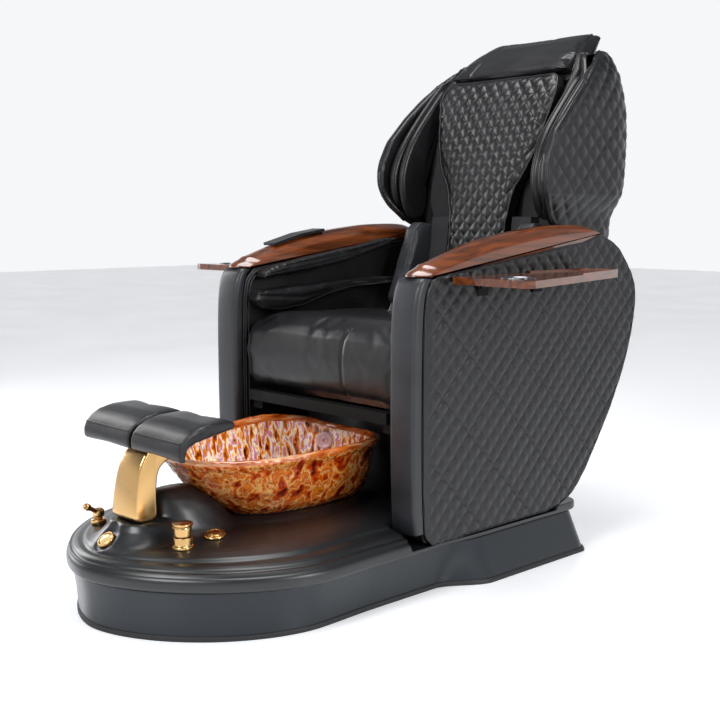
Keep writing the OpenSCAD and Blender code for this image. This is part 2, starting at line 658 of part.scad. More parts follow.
// Shell: [z, half width, front edge, rear face, corner radius]
shell_levels = [
  [470, waist_half_w - 6, 700, 822, 70], [600, waist_half_w, 674, 876, 90],
  [740, waist_half_w, 668, 912, 100], [800, waist_half_w, 664, 925, 104],
  [816, waist_half_w, 640, 928, 106], [838, waist_half_w + 1, 598, 930, 108],
  [858, waist_half_w + 6, 574, 932, 110], [882, waist_half_w + 20, 552, 934, 110],
  [908, shoulder_half_w - 3, 537, 937, 110], [935, shoulder_half_w, 528, 940, 110],
  [967, shoulder_half_w, 525, 943, 110], [1005, shoulder_half_w, 533, 946, 110],
  [1065, shoulder_half_w, 566, 948, 110], [1130, shoulder_half_w - 2, 630, 946, 110],
  [1182, shoulder_half_w - 10, 690, 940, 108], [1228, shoulder_half_w - 22, 742, 932, 100],
  [1264, shoulder_half_w - 42, 792, 920, 84], [1290, shoulder_half_w - 68, 836, 908, 54]];
// Half of the outer face, from the wing's front edge to the middle of the rear
function shell_half(w, yf, yr, r) = concat(
  [for (t = [0, 0.33, 0.66]) [w, lerp(yf, yr - r, t)]],
  [for (a = [0:22.5:90]) [w - r + r * cos(a), yr - r + r * sin(a)]],
  [[(w - r) / 2, yr]]);
function shell_ring(s) = let (
    o = shell_half(s[1], s[2], s[3], s[4]),
    i = shell_half(s[1] - back_wall, s[2] + 2, s[3] - back_wall, max(12, s[4] - back_wall)),
    left = [for (p = reverse(o)) [-p[0], p[1]]])
  lift(concat(o, left, [for (p = i) [-p[0], p[1]]], reverse(i)), s[0]);

module back_shell() color(black) loft([for (s = shell_levels) shell_ring(s)]);

module back_core() color(leather_grey) union() {
  both() slab(strip(590, 1190, pad_t + 5, frame_d - 3), 118, 190);
  both() slab(strip(640, 1190, pad_t + 5, frame_d - 3), 189, 222);
  both() slab(strip(590, 850, 12, pad_t + 6), 113, 176);
}

// Quilted back pad: broad behind the head, narrow behind the loins
pad_half = [[105, 588], [105, 800], [112, 860], [126, 920], [158, 975], [176, 1020], [192, 1080],
  [204, 1140], [206, 1190], [196, 1216], [178, 1227]];
module back_pad() color(black) intersection() {
  slab(strip(586, 1228, 0, pad_t, 12), -220, 220);
  translate([0, 900, 0]) rotate([90, 0, 0]) linear_extrude(500) polygon(mirrored(pad_half));
}

headrest_profile = [[716, 1230], [780, 1284], [846, 1324], [900, 1347], [916, 1349], [927, 1338],
  [920, 1318], [860, 1296], [812, 1262], [774, 1198], [742, 1196], [763, 1229.5]];
headrest_half = [[207, 1180], [207, 1240], [200, 1290], [180, 1330], [160, 1350], [150, 1360]];
module headrest() color(black) intersection() {
  slab(headrest_profile, -210, 210);
  translate([0, 1100, 0]) rotate([90, 0, 0]) linear_extrude(600) polygon(mirrored(headrest_half));
}

wing_pad_inner = [[690, 1128], [650, 1122], [592, 1102], [560, 1036], [535, 969], [542, 912],
  [572, 870], [690, 870]];
wing_pad_outer = [[700, 1140], [640, 1112], [605, 1078], [560, 1026], [538, 975], [542, 935],
  [556, 912], [690, 912]];
module wing_pads() union() {
  slab(wing_pad_inner, 224.5, 248);
  slab(wing_pad_outer, 252, 276);
}
module left_wing_pads() color(black) wing_pads();
module right_wing_pads() color(black) mirror([1, 0, 0]) wing_pads();

lumbar_profile = [[484, 622], [500, 596], [520, 590], [570, 590], [612, 640], [646, 760],
  [646, 832], [590, 841], [560, 822], [520, 730]];
module lumbar_bags() color(leather_grey) both() slab(lumbar_profile, 178, 224);

// ---- massage mechanism ----
roller_d = 76;          // roller axis behind the pad's face
module massage_carriage() color(steel) difference() {
  union() {
    both() slab(rail(car_at - 40, car_at + 40, frame_d - 18.5, frame_d - 16.5), 60, 100);
    both() slab(rail(car_at - 40, car_at + 40, frame_d - 18.5, frame_d - 4), 97, 100);
    both() slab(rail(car_at - 30, car_at + 30, roller_d - 8, frame_d - 17.5), 56, 61);
    slab(rail(car_at - 40, car_at - 26, frame_d - 18.5, frame_d - 16.5), -62, 62);
  }
  tube_x(-70, 70, rail_y(car_at) + roller_d, car_at, 5 + fit);
}
module massage_rollers() color(black) union() {
  tube_x(-66, 66, rail_y(car_at) + roller_d, car_at, 5);
  both() tube_x(26, 50, rail_y(car_at) + roller_d, car_at, 26);
}

floor_pan();
skirt();
kick_trim();
deck();
bowl();
bowl_gasket();
drain_strainer();
drain_plug();
drain_pipe();
jet_motor();
jet_impeller();
jet_cap();
footrest_post();
footrest_pin();
footrest_bracket();
left_foot_pad();
right_foot_pad();
faucet_base();
faucet_handle();
sprayer_holder();
hand_sprayer();
button_bezels();
air_button();
nose_button();
seat_stand();
fascia_panel();
rear_panel();
power_box();
mixing_valve();
control_panel();
arm_frames();
arm_linings();
left_arm_panel();
right_arm_panel();
left_arm_band();
right_arm_band();
left_arm_bags();
right_arm_bags();
left_arm_top();
right_arm_top();
left_tray();
right_tray();
left_cup_ring();
right_cup_ring();
tray_brackets();
tray_pins();
seat_carriage();
seat_cushion();
recline_motor();
recline_rod();
back_frame();
back_shell();
back_core();
back_pad();
headrest();
left_wing_pads();
right_wing_pads();
lumbar_bags();
massage_carriage();
massage_rollers();
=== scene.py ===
"""Looks of the pedicure spa chair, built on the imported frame.

Shapes are in millimetres in the frame's own axes: +Z up, the sitter faces -Y, +X is the
sitter's left. A shape is a pair (points, faces) until add() makes it an object in metres.
"""
import json
import math

import bpy
import numpy as np
from mathutils import Matrix, Vector
from mathutils.bvhtree import BVHTree

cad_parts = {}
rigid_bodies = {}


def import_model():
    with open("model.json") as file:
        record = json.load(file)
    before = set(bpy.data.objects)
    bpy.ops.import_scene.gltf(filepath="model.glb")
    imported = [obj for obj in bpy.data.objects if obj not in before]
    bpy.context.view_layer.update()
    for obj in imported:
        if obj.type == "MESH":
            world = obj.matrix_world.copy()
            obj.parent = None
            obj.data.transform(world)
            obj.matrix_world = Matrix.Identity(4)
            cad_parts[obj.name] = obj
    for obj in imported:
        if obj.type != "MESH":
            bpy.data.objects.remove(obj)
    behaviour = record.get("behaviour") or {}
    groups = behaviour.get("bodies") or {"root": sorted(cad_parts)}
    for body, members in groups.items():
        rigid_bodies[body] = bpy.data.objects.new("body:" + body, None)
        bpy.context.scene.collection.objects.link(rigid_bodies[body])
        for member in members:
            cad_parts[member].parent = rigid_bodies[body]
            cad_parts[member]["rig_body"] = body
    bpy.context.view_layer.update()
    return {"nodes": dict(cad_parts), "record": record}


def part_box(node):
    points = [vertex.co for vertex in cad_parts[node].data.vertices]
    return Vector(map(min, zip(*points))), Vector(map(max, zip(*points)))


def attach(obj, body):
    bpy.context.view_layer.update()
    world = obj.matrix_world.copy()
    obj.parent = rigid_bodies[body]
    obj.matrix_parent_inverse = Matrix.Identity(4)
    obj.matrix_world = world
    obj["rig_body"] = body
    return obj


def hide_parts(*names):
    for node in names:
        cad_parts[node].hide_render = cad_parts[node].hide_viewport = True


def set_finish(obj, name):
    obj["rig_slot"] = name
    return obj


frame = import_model()
NODES = frame["nodes"]
RECORD = frame["record"]
BODY = {n: body for body, names in RECORD["behaviour"]["bodies"].items() for n in names}
SLOT = {s["node"]: s["material_slot"] for s in RECORD["subparts"]}
MM = 0.001


# ---------------------------------------------------------------- materials
def linear(r, g, b):
    """A colour given as 0 to 255 on a screen, in the renderer's own units."""
    return tuple((c / 255 / 12.92 if c < 10.3 else ((c / 255 + 0.055) / 1.055) ** 2.4) for c in (r, g, b))


def shader_node(mat, kind, inputs=None, **settings):
    made = mat.node_tree.nodes.new("ShaderNode" + kind)
    for name, value in settings.items():
        setattr(made, name, value)
    for name, value in (inputs or {}).items():
        if isinstance(value, bpy.types.NodeSocket):
            mat.node_tree.links.new(value, made.inputs[name])
        else:
            made.inputs[name].default_value = value
    return made


def new_material(name, sockets):
    mat = bpy.data.materials.new(name)
    mat.use_nodes = True
    for socket, value in sockets.items():
        mat.node_tree.nodes["Principled BSDF"].inputs[socket].default_value = value
    return mat


def to_shader(mat, socket, value):
    mat.node_tree.links.new(value, mat.node_tree.nodes["Principled BSDF"].inputs[socket])


def place_on(mat, scale=(1, 1, 1)):
    """The point's place on the object at rest, in metres times scale."""
    place = shader_node(mat, "TexCoord").outputs["Object"]
    return shader_node(mat, "Mapping", {"Vector": place, "Scale": scale}).outputs["Vector"]


def noise(mat, scale, detail=3, stretch=(1, 1, 1), distortion=0):
    return shader_node(mat, "TexNoise", {"Vector": place_on(mat, stretch), "Scale": scale,
                                         "Detail": detail, "Distortion": distortion}).outputs["Fac"]


def cells(mat, scale):
    return shader_node(mat, "TexVoronoi", {"Vector": place_on(mat), "Scale": scale},
                       feature="SMOOTH_F1").outputs["Distance"]


def ramp(mat, value, stops):
    made = shader_node(mat, "ValToRGB", {"Fac": value})
    made.color_ramp.interpolation = "EASE"
    elements = made.color_ramp.elements
    while len(elements) < len(stops):
        elements.new(0.5)
    for element, (position, colour) in zip(elements, stops):
        element.position = position
        element.color = (*colour, 1)
    return made.outputs["Color"]


def spread(mat, value, low, high):
    """The value, mostly between 0.3 and 0.7, drawn out to run from low to high."""
    return shader_node(mat, "MapRange", {"Value": value, "From Min": 0.3, "From Max": 0.7,
                                         "To Min": low, "To Max": high}).outputs["Result"]


def bump(mat, heights):
    """heights is a list of (value, height in mm); each adds to the one before."""
    normal = None
    for value, height in heights:
        inputs = {"Height": value, "Distance": height * MM, "Strength": 1.0}
        if normal is not None:
            inputs["Normal"] = normal
        normal = shader_node(mat, "Bump", inputs).outputs["Normal"]
    to_shader(mat, "Normal", normal)


def plain(name, colour, rough, vary=0.12, blotch=18, grain=((500, 0.03),), **sockets):
    """A finish whose colour and gloss drift a little over the surface, with a fine grain."""
    mat = new_material(name, {k.replace("_", " "): v for k, v in sockets.items()})
    drift = noise(mat, blotch)
    base = np.array(linear(*colour))
    to_shader(mat, "Base Color", ramp(mat, drift, [(0.2, base * (1 - vary)), (0.8, base * (1 + vary))]))
    to_shader(mat, "Roughness", spread(mat, drift, rough * 0.9, rough * 1.1))
    bump(mat, [(noise(mat, scale, 2), height) for scale, height in grain])
    return mat


def leather(name, colour, rough):
    """Soft coated leather: pebbled grain, faint creases, and a duller bloom in places."""
    mat = new_material(name, {"Specular IOR Level": 0.38, "Coat Weight": 0.08, "Coat Roughness": 0.2})
    base = np.array(linear(*colour))
    drift = noise(mat, 9, 5)
    pebbles = cells(mat, 620)
    to_shader(mat, "Base Color", ramp(mat, drift, [(0.3, base * 0.82), (0.72, base * 1.2)]))
    to_shader(mat, "Roughness", spread(mat, drift, rough * 0.88, rough * 1.18))
    bump(mat, [(pebbles, 0.12), (noise(mat, 38, 4, distortion=0.6), 0.7)])
    return mat


def wood(name, dark, light, rough):
    """Lacquered wood with its grain along Y."""
    mat = new_material(name, {"Coat Weight": 0.8, "Coat Roughness": 0.12})
    dark, light = np.array(linear(*dark)), np.array(linear(*light))
    grain = noise(mat, 4, 6, (16, 1.1, 16), 0.5)
    pores = noise(mat, 90, 4, (6, 0.25, 6))
    to_shader(mat, "Base Color", ramp(mat, grain, [(0.25, dark), (0.45, (dark + light) / 2),
                                                   (0.6, light), (0.8, (dark * 2 + light) / 3)]))
    to_shader(mat, "Roughness", spread(mat, pores, rough * 0.8, rough * 1.2))
    bump(mat, [(pores, 0.06)])
    return mat


def metal(name, colour, rough):
    mat = new_material(name, {"Metallic": 1.0})
    base = np.array(linear(*colour))
    drift = noise(mat, 7, 2)
    lines = noise(mat, 400, 2)
    to_shader(mat, "Base Color", ramp(mat, drift, [(0.3, base * 0.97), (0.7, base * 1.02)]))
    to_shader(mat, "Roughness", spread(mat, drift, rough * 0.92, rough * 1.1))
    bump(mat, [(lines, 0.003)])
    return mat


def art_glass(name, stops, rough, clear, strokes):
    """Kiln-worked glass: strokes of colour drawn through it, which for the inside and the rim include painted
    highlights, and a hammered skin.
    """
    mat = new_material(name, {"Transmission Weight": clear, "IOR": 1.5, "Coat Weight": 1.0,
                              "Coat Roughness": 0.03})
    flow = noise(mat, 40, 8, strokes, 0.3)
    to_shader(mat, "Base Color", ramp(mat, flow, [(p, linear(*c)) for p, c in stops]))
    to_shader(mat, "Roughness", spread(mat, noise(mat, 30, 3), rough * 0.7, rough * 1.4))
    bump(mat, [(cells(mat, 70), 3.0), (noise(mat, 120, 3), 1.0)])
    return mat


# position along the strokes, colour there; the white and pale yellow stops inside the bowl are partly streaks
# in the glass and partly painted highlights, and the palest stop of the rim is a painted highlight
AMBER_STROKES = [(0.3, (92, 14, 6)), (0.39, (176, 52, 8)), (0.46, (226, 104, 18)), (0.52, (244, 186, 104)),
                 (0.57, (206, 92, 40)), (0.62, (236, 130, 26)), (0.72, (130, 30, 30))]
# the palest stop is a painted highlight band along the rim
RIM_STROKES_AND_HIGHLIGHT = [(0.35, (140, 44, 10)), (0.5, (222, 116, 40)), (0.65, (250, 196, 150))]
# white and pale yellow stops: partly streaks in the glass, partly painted highlights inside the bowl
INSIDE_STROKES_AND_HIGHLIGHTS = [(0.3, (60, 16, 6)), (0.37, (150, 56, 8)), (0.44, (224, 128, 22)), (0.49, (255, 226, 170)),
                  (0.52, (255, 250, 240)), (0.56, (206, 134, 190)), (0.6, (226, 140, 30)),
                  (0.7, (96, 36, 14))]

MATERIALS = {
    # the near-black colour is partly the steel's own dark paint and partly painted shade, so the seat
    # carriage under the cushion reads as the shade there
    "painted_steel": plain("painted_steel", (12, 12, 13), 0.6, grain=((900, 0.02), (60, 0.05)),
                           Specular_IOR_Level=0.15),
    "skirt_plastic": plain("skirt_plastic", (26, 31, 36), 0.26, 0.03, 3, ((900, 0.01),),
                           Specular_IOR_Level=0.35),
    "black_rubber": plain("black_rubber", (24, 24, 26), 0.6),
    "deck_plastic": plain("deck_plastic", (15, 17, 19), 0.36, 0.06, 4, ((900, 0.01),), Coat_Weight=0.2,
                          Coat_Roughness=0.25),
    "gold": metal("gold", (206, 166, 110), 0.24),
    "pipe_plastic": plain("pipe_plastic", (222, 221, 214), 0.4),
    "motor_plastic": plain("motor_plastic", (52, 52, 56), 0.5, grain=((1400, 0.05),)),
    "jet_plastic": plain("jet_plastic", (196, 158, 164), 0.25, 0.2, 40),
    "lens_plastic": plain("lens_plastic", (196, 172, 112), 0.15, 0.06, 60, Coat_Weight=0.5),
    "black_leather": leather("black_leather", (16, 16, 18), 0.36),
    "grey_leather": leather("grey_leather", (38, 39, 43), 0.42),
    "panel_plastic": plain("panel_plastic", (16, 16, 18), 0.4, grain=((1200, 0.04),)),
    "plywood": wood("plywood", (150, 116, 76), (190, 156, 110), 0.6),
    "walnut": wood("walnut", (44, 19, 7), (108, 52, 16), 0.2),
    "polished_steel": metal("polished_steel", (150, 152, 156), 0.2),
    "foam": plain("foam", (30, 30, 32), 0.9, grain=((700, 0.4),)),
    "roller_rubber": plain("roller_rubber", (40, 40, 42), 0.7),
    "amber_glass": art_glass("amber_glass", AMBER_STROKES, 0.12, 0.25, (1, 1, 0.8)),
    "glass_rim": art_glass("glass_rim", RIM_STROKES_AND_HIGHLIGHT, 0.08, 0.4, (0.3, 0.3, 2.0)),
    "bowl_inside": art_glass("bowl_inside", INSIDE_STROKES_AND_HIGHLIGHTS, 0.08, 0.1, (1.8, 1.8, 0.55)),
    "thread": plain("thread", (74, 74, 80), 0.7, grain=((2000, 0.05),)),
}


# ---------------------------------------------------------------- shapes
def rounded(points, radius, steps=5, closed=True):
    """The line with each corner rounded."""
    pts = [np.array(p, float) for p in points]
    out = []
    for i, p in enumerate(pts):
        if not closed and i in (0, len(pts) - 1):
            out.append(p)
            continue
        back, ahead = pts[i - 1] - p, pts[(i + 1) % len(pts)] - p
        back = back * min(radius / max(np.linalg.norm(back), 1e-6), 0.48)
        ahead = ahead * min(radius / max(np.linalg.norm(ahead), 1e-6), 0.48)
        for t in np.linspace(0, 1, steps + 1):
            out.append(p + back * (1 - t) ** 2 + ahead * t ** 2)
    return np.array(out)


def evenly(points, spacing, closed=False):
    """The line again, with points about spacing apart."""
    pts = np.array(points, float)
    if closed:
        pts = np.vstack([pts, pts[:1]])
    run = np.concatenate([[0], np.cumsum(np.linalg.norm(np.diff(pts, axis=0), axis=1))])
    count = max(2, int(round(run[-1] / spacing)))
    at = np.linspace(0, run[-1], count + 1)
    out = np.stack([np.interp(at, run, pts[:, k]) for k in range(pts.shape[1])], axis=1)
    return out[:-1] if closed else out


def loft(rings, caps=True, loop=False):
    """The surface through rings that have the same number of points."""
    n, m = len(rings[0]), len(rings)
    faces = []
    for k in range(m if loop else m - 1):
        a, b = k * n, (k + 1) % m * n
        faces += [(a + i, a + (i + 1) % n, b + (i + 1) % n, b + i) for i in range(n)]
    if caps and not loop:
        faces += [tuple(range(n))[::-1], tuple(range((m - 1) * n, m * n))]
    return np.vstack(rings), faces


def join(*shapes):
    points, faces, start = [], [], 0
    for pts, fcs in shapes:
        points.append(np.asarray(pts, float))
        faces += [tuple(i + start for i in f) for f in fcs]
        start += len(pts)
    return np.vstack(points), faces


def placed(shape, matrix):
    turn = np.array(matrix.to_3x3())
    return np.asarray(shape[0]) @ turn.T + np.array(matrix.translation), shape[1]


def inset(outline, distance):
    """The closed flat line moved inwards."""
    ahead, back = np.roll(outline, -1, 0), np.roll(outline, 1, 0)
    along = ahead - back
    out = np.stack([along[:, 1], -along[:, 0]], 1)
    out /= np.maximum(np.linalg.norm(out, axis=1, keepdims=True), 1e-9)
    area = np.sum(outline[:, 0] * ahead[:, 1] - ahead[:, 0] * outline[:, 1])
    return outline - out * distance * np.sign(area)


def prism(outline, low, high, edge, corner, axis="x"):
    """The flat outline drawn out from low to high along an axis, with rounded edges and corners."""
    line = rounded(outline, corner)
    ends = [(edge * (1 - math.cos(a)), edge * (1 - math.sin(a))) for a in np.radians(np.linspace(0, 90, 5))]
    levels = [(low + h, d) for h, d in ends] + [(high - h, d) for h, d in reversed(ends)]
    rings = []
    for h, d in levels:
        flat = inset(line, d)
        level = np.full(len(flat), h)
        rings.append(np.column_stack([level, flat] if axis == "x" else [flat, level]))
    return loft(rings)


def lathe(profile, corner=1.0, steps=56):
    """The profile of (radius, height) turned about the local Z axis."""
    line = rounded(profile, corner, 4, closed=False)
    turn = np.linspace(0, 2 * math.pi, steps, endpoint=False)
    return loft([np.column_stack([max(r, 0.01) * np.cos(turn), max(r, 0.01) * np.sin(turn),
                                  np.full(steps, z)]) for r, z in line])


def tube(points, radius, closed=False, sides=10):
    """A round bar along the points."""
    pts = np.array(points, float)
    ahead = np.roll(pts, -1, 0) - np.roll(pts, 1, 0)
    if not closed:
        ahead[0], ahead[-1] = pts[1] - pts[0], pts[-1] - pts[-2]
    ahead /= np.maximum(np.linalg.norm(ahead, axis=1, keepdims=True), 1e-9)
    side = np.cross(ahead[0], [0.31, 0.17, 0.93])
    turn = np.linspace(0, 2 * math.pi, sides, endpoint=False)
    rings = []
    for p, along in zip(pts, ahead):
        side = side - along * np.dot(side, along)
        side /= np.linalg.norm(side)
        other = np.cross(along, side)
        rings.append(p + radius * (np.outer(np.cos(turn), side) + np.outer(np.sin(turn), other)))
    return loft(rings, caps=not closed, loop=closed)


def finish_object(obj, body, slot, material=None):
    obj.data.materials.clear()
    obj.data.materials.append(MATERIALS[material or slot])
    obj.data.shade_smooth()
    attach(obj, body)
    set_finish(obj, slot)
    return obj


def add(name, shape, node=None, body=None, slot=None, material=None, crisp=None):
    """Makes the shape an object. With node it stands for that CAD node; crisp keeps edges sharper
    than that angle, in degrees."""
    mesh = bpy.data.meshes.new(name)
    mesh.from_pydata([tuple(p) for p in np.asarray(shape[0]) * MM], [], shape[1])
    mesh.validate()
    obj = bpy.data.objects.new(name, mesh)
    bpy.context.scene.collection.objects.link(obj)
    finish_object(obj, body or BODY[node], slot or SLOT[node], material)
    if crisp:
        mesh.set_sharp_from_angle(angle=math.radians(crisp))
    if node:
        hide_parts(node)
    return obj


def points_of(obj):
    co = np.zeros(len(obj.data.vertices) * 3, np.float32)
    obj.data.vertices.foreach_get("co", co)
    return co.reshape(-1, 3).astype(float) / MM


def set_points(obj, points):
    obj.data.vertices.foreach_set("co", (np.asarray(points) * MM).astype(np.float32).ravel())
    obj.data.update()


def normals_of(obj):
    no = np.zeros(len(obj.data.vertices) * 3, np.float32)
    obj.data.vertices.foreach_get("normal", no)
    return no.reshape(-1, 3).astype(float)


def press(obj, depth):
    """Moves each point along its normal by depth(points, normals), in mm."""
    points, normals = points_of(obj), normals_of(obj)
    set_points(obj, points + normals * np.asarray(depth(points, normals))[:, None])


def apply_modifiers(obj):
    evaluated = obj.evaluated_get(bpy.context.evaluated_depsgraph_get())
    mesh = bpy.data.meshes.new_from_object(evaluated)
    obj.modifiers.clear()
    obj.data = mesh
    mesh.shade_smooth()


def copy_of(node, name):
    obj = bpy.data.objects.new(name, NODES[node].data.copy())
    bpy.context.scene.collection.objects.link(obj)
    return obj


def evened(obj, voxel, rounds):
    """An even mesh of the same shape, with its corners softened."""
    remesh = obj.modifiers.new("even", "REMESH")
    remesh.mode = "VOXEL"
    remesh.voxel_size = voxel * MM
    soften = obj.modifiers.new("soften", "SMOOTH")
    soften.factor = 0.5
    soften.iterations = rounds
    apply_modifiers(obj)


def swell(obj, pressure, cap):
    """Blows the closed mesh up as cloth, each point by no more than cap mm."""
    before = points_of(obj)
    cloth = obj.modifiers.new("swell", "CLOTH")
    cloth.settings.use_pressure = True
    cloth.settings.uniform_pressure_force = pressure
    cloth.settings.effector_weights.gravity = 0
    cloth.settings.quality = 4
    for count in range(1, 21):
        bpy.context.scene.frame_set(count)
    evaluated = obj.evaluated_get(bpy.context.evaluated_depsgraph_get())
    after = np.array([v.co for v in evaluated.data.vertices]) / MM
    obj.modifiers.clear()
    bpy.context.scene.frame_set(1)
    move = after - before
    size = np.maximum(np.linalg.norm(move, axis=1, keepdims=True), 1e-9)
    set_points(obj, before + move / size * cap * np.tanh(size / cap))


def subdivided(obj):
    obj.modifiers.new("finer", "SUBSURF").levels = 1
    apply_modifiers(obj)


def cushion(node, voxel, rounds, shrink, cap, detail=None, pressure=4, finer=True):
    """A padded piece that stands for the soft CAD node: shrunk, blown up, then sewn by detail."""
    obj = copy_of(node, node + "_leather")
    evened(obj, voxel, rounds)
    press(obj, lambda p, n: np.full(len(p), -shrink))
    swell(obj, pressure, cap)
    if finer:
        subdivided(obj)
    if detail:
        press(obj, detail)
    finish_object(obj, BODY[node], SLOT[node])
    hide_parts(node)
    return obj


def padded_panel(node, voxel, rounds, detail):
    """Upholstery stretched over a hard core: the CAD shape with its quilting pressed in."""
    obj = copy_of(node, node + "_leather")
    evened(obj, voxel, rounds)
    press(obj, detail)
    finish_object(obj, BODY[node], SLOT[node])
    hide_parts(node)
    return obj


def mirror_image(obj, node=None):
    """The same piece on the other side, standing for that side's CAD node if one is given."""
    twin = bpy.data.objects.new(obj.name.replace("left", "right"), obj.data.copy())
    bpy.context.scene.collection.objects.link(twin)
    twin.data.transform(Matrix.Diagonal((-1, 1, 1, 1)))
    twin.data.flip_normals()
    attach(twin, obj["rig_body"])
    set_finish(twin, obj["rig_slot"])
    if node:
        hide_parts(node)
    return twin


def padded_twin(obj, node):
    mirror_image(obj, node)


def bevelled(node, width):
    """The CAD shape with every sharp edge broken."""
    obj = copy_of(node, node + "_finished")
    flat = obj.modifiers.new("merge", "DECIMATE")
    flat.decimate_type = "DISSOLVE"
    flat.angle_limit = math.radians(1.5)
    bevel = obj.modifiers.new("break", "BEVEL")
    bevel.width = width * MM
    bevel.segments = 3
    bevel.limit_method = "ANGLE"
    bevel.angle_limit = math.radians(28)
    bevel.harden_normals = False
    apply_modifiers(obj)
    finish_object(obj, BODY[node], SLOT[node])
    obj.data.set_sharp_from_angle(angle=math.radians(38))
    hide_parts(node)


def surface_of(obj):
    points = [Vector(p) for p in points_of(obj)]
    return BVHTree.FromPolygons(points, [tuple(p.vertices) for p in obj.data.polygons])


def laid_on(obj, points, lift, passes=2):
    """The line drawn onto the object's surface, standing lift mm proud of it."""
    tree = surface_of(obj)
    out = []
    for p in points:
        place, normal, _, _ = tree.find_nearest(Vector(p))
        out.append(np.array(place + normal * lift))
    out = np.array(out)
    for _ in range(passes):
        out[1:-1] = (out[:-2] + 2 * out[1:-1] + out[2:]) / 4
    return out


STITCH = 2.5


def piping(obj, name, points, radius=2.2, closed=False, lift=0.6):
    """A corded edge sewn along the points on a padded piece."""
    line = laid_on(obj, evenly(points, 5, closed), lift)
    return add(name, tube(line, radius, closed, 8), body=obj["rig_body"], slot=obj["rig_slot"])


def stitching(obj, name, points):
    """A row of single stitches along the points on a padded piece."""
    line = laid_on(obj, evenly(points, STITCH), 0.35, 1)
    rows = [tube(line[i:i + 2], 0.55, sides=5) for i in range(0, len(line) - 1, 2)]
    return add(name, join(*rows), body=obj["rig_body"], slot=obj["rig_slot"], material="thread")


def smooth(t):
    c = np.clip(t, 0, 1)
    return c * c * (3 - 2 * c)


def groove(distance, depth, width):
    """A sewn seam: how far the leather is drawn in at that distance from it."""
    return -depth * np.exp(-(distance / width) ** 2)


def diamonds(u, v, pitch, depth):
    """Quilting: level in the middle of each diamond, drawn in along its stitched sides."""
    rise = np.abs(np.sin(np.pi * (u + v) / pitch)) * np.abs(np.sin(np.pi * (u - v) / pitch))
    return depth * (rise ** 0.42 - 1)


def ripple(points, size, height):
    """Slack in the leather: low, irregular waves."""
    x, y, z = (points / size).T
    wave = np.sin(x * 2.1 + 1.3 * np.sin(y * 1.7)) + np.sin(y * 2.6 + 1.1 * np.sin(z * 2.2 + x))
    return height * (wave + np.sin(z * 1.9 + 1.7 * np.sin(x * 1.3 + y * 0.8))) / 3


def along_line(line, value):
    """Value of the broken line of (position, value) pairs at each position."""
    at, of = zip(*line)
    return np.interp(value, at, of)


# ---------------------------------------------------------------- base
SKIRT_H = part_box("skirt")[1].z / MM
DECK_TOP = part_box("fascia_panel")[0].z / MM
NOSE_Y, WAIST_Y, WIDEN, REAR_R = -250, 105, 135, 40


def base_outline(z, w, l, wr, yr, n):
    """Outline of the base at height z: half width w and length l of its nose, half width wr and
    edge yr of its rear, roundness n of the nose."""
    t = np.radians(np.linspace(0, 90, 64))[1:]
    nose = [w * np.sin(t) ** (2 / n), NOSE_Y - l * np.cos(t) ** (2 / n)]
    y = np.linspace(NOSE_Y, WAIST_Y, 60)[1:]
    side = [w - 6 * smooth((y - NOSE_Y) / 160), y]
    y = np.linspace(WAIST_Y, WAIST_Y + WIDEN, 24)[1:]
    widen = [w - 6 + (wr - w + 6) * smooth((y - WAIST_Y) / WIDEN), y]
    y = np.linspace(WAIST_Y + WIDEN, yr - REAR_R, 50)[1:]
    rear = [np.full(len(y), float(wr)), y]
    a = np.radians(np.linspace(0, 90, 10))[1:]
    corner = [wr - REAR_R + REAR_R * np.cos(a), yr - REAR_R + REAR_R * np.sin(a)]
    x = np.linspace(wr - REAR_R, 0, 20)[1:-1]
    back = [x, np.full(len(x), float(yr))]
    half = np.hstack([nose, side, widen, rear, corner, back]).T
    tip, tail = [[0, NOSE_Y - l]], [[0, yr]]
    line = np.vstack([tip, half, tail, half[::-1] * [-1, 1]])
    return np.column_stack([line, np.full(len(line), z)])


def skirt_outline(z, grow):
    t = z / SKIRT_H
    hollow = -3 * math.sin(math.pi * t)
    return base_outline(z, 328 + 22 * t + grow + hollow, 342 + 12 * t + grow + hollow,
                        385 - 29 * t + grow, 627 - 27 * t + grow, 1.75)


def make_skirt():
    heights = np.linspace(0, SKIRT_H, 19)
    rings = [skirt_outline(z, 0) for z in heights] + [skirt_outline(z, -5) for z in heights[::-1]]
    add("skirt_moulding", loft(rings, loop=True), "skirt")
    trim = [(0, 3.2), (7, 3.2), (10, 2.4), (11, 1.0), (11, -1), (0, -1)]
    add("kick_trim_strip", loft([skirt_outline(z, g) for z, g in trim], loop=True), "kick_trim", crisp=50)


# height, half width and length of the nose, half width and edge of the rear
DECK_STEPS = [(112, 352, 352, 350, 600), (SKIRT_H, 353, 353, 351, 601), (SKIRT_H, 362, 361, 361, 611),
              (112, 367, 366, 364, 614), (130, 367, 366, 364, 613), (137, 361, 361, 357, 607),
              (141, 346, 355, 341, 593), (151, 341, 351, 335, 590), (156, 326, 343, 323, 585),
              (158, 305, 332, 303, 582), (165, 296, 327, 293, 581), (171, 267, 312, 265, 578),
              (DECK_TOP, 244, 299, 242, 576)]
BOSS = [(150, -450, 138, 132), (165, -452, 114, 120), (185, -454, 93, 98), (200, -458, 79, 78),
        (209, -466, 70, 66), (213, -472, 66, 56), (214, -474, 40, 34)]
RIDGE = [(150, -352, 118, 128), (173, -352, 100, 112), (185, -354, 88, 104), (205, -358, 76, 94),
         (228, -364, 62, 84), (248, -374, 46, 70), (260, -382, 32, 56), (267, -388, 20, 40),
         (269, -390, 10, 24)]
PLATFORM = [(165, -56, 150, 250), (178, -56, 136, 226), (184, -56, 124, 206)]
BOWL_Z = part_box("bowl")[0].z / MM
BOWL_Y, BOWL_W, BOWL_L, RIM_H, GLASS = -106, 170, 277, 142, 9
RIM_FROM = 134          # height on the bowl where the plain rim glass begins
GIRTH, RING_GAP = 1330, 2.6


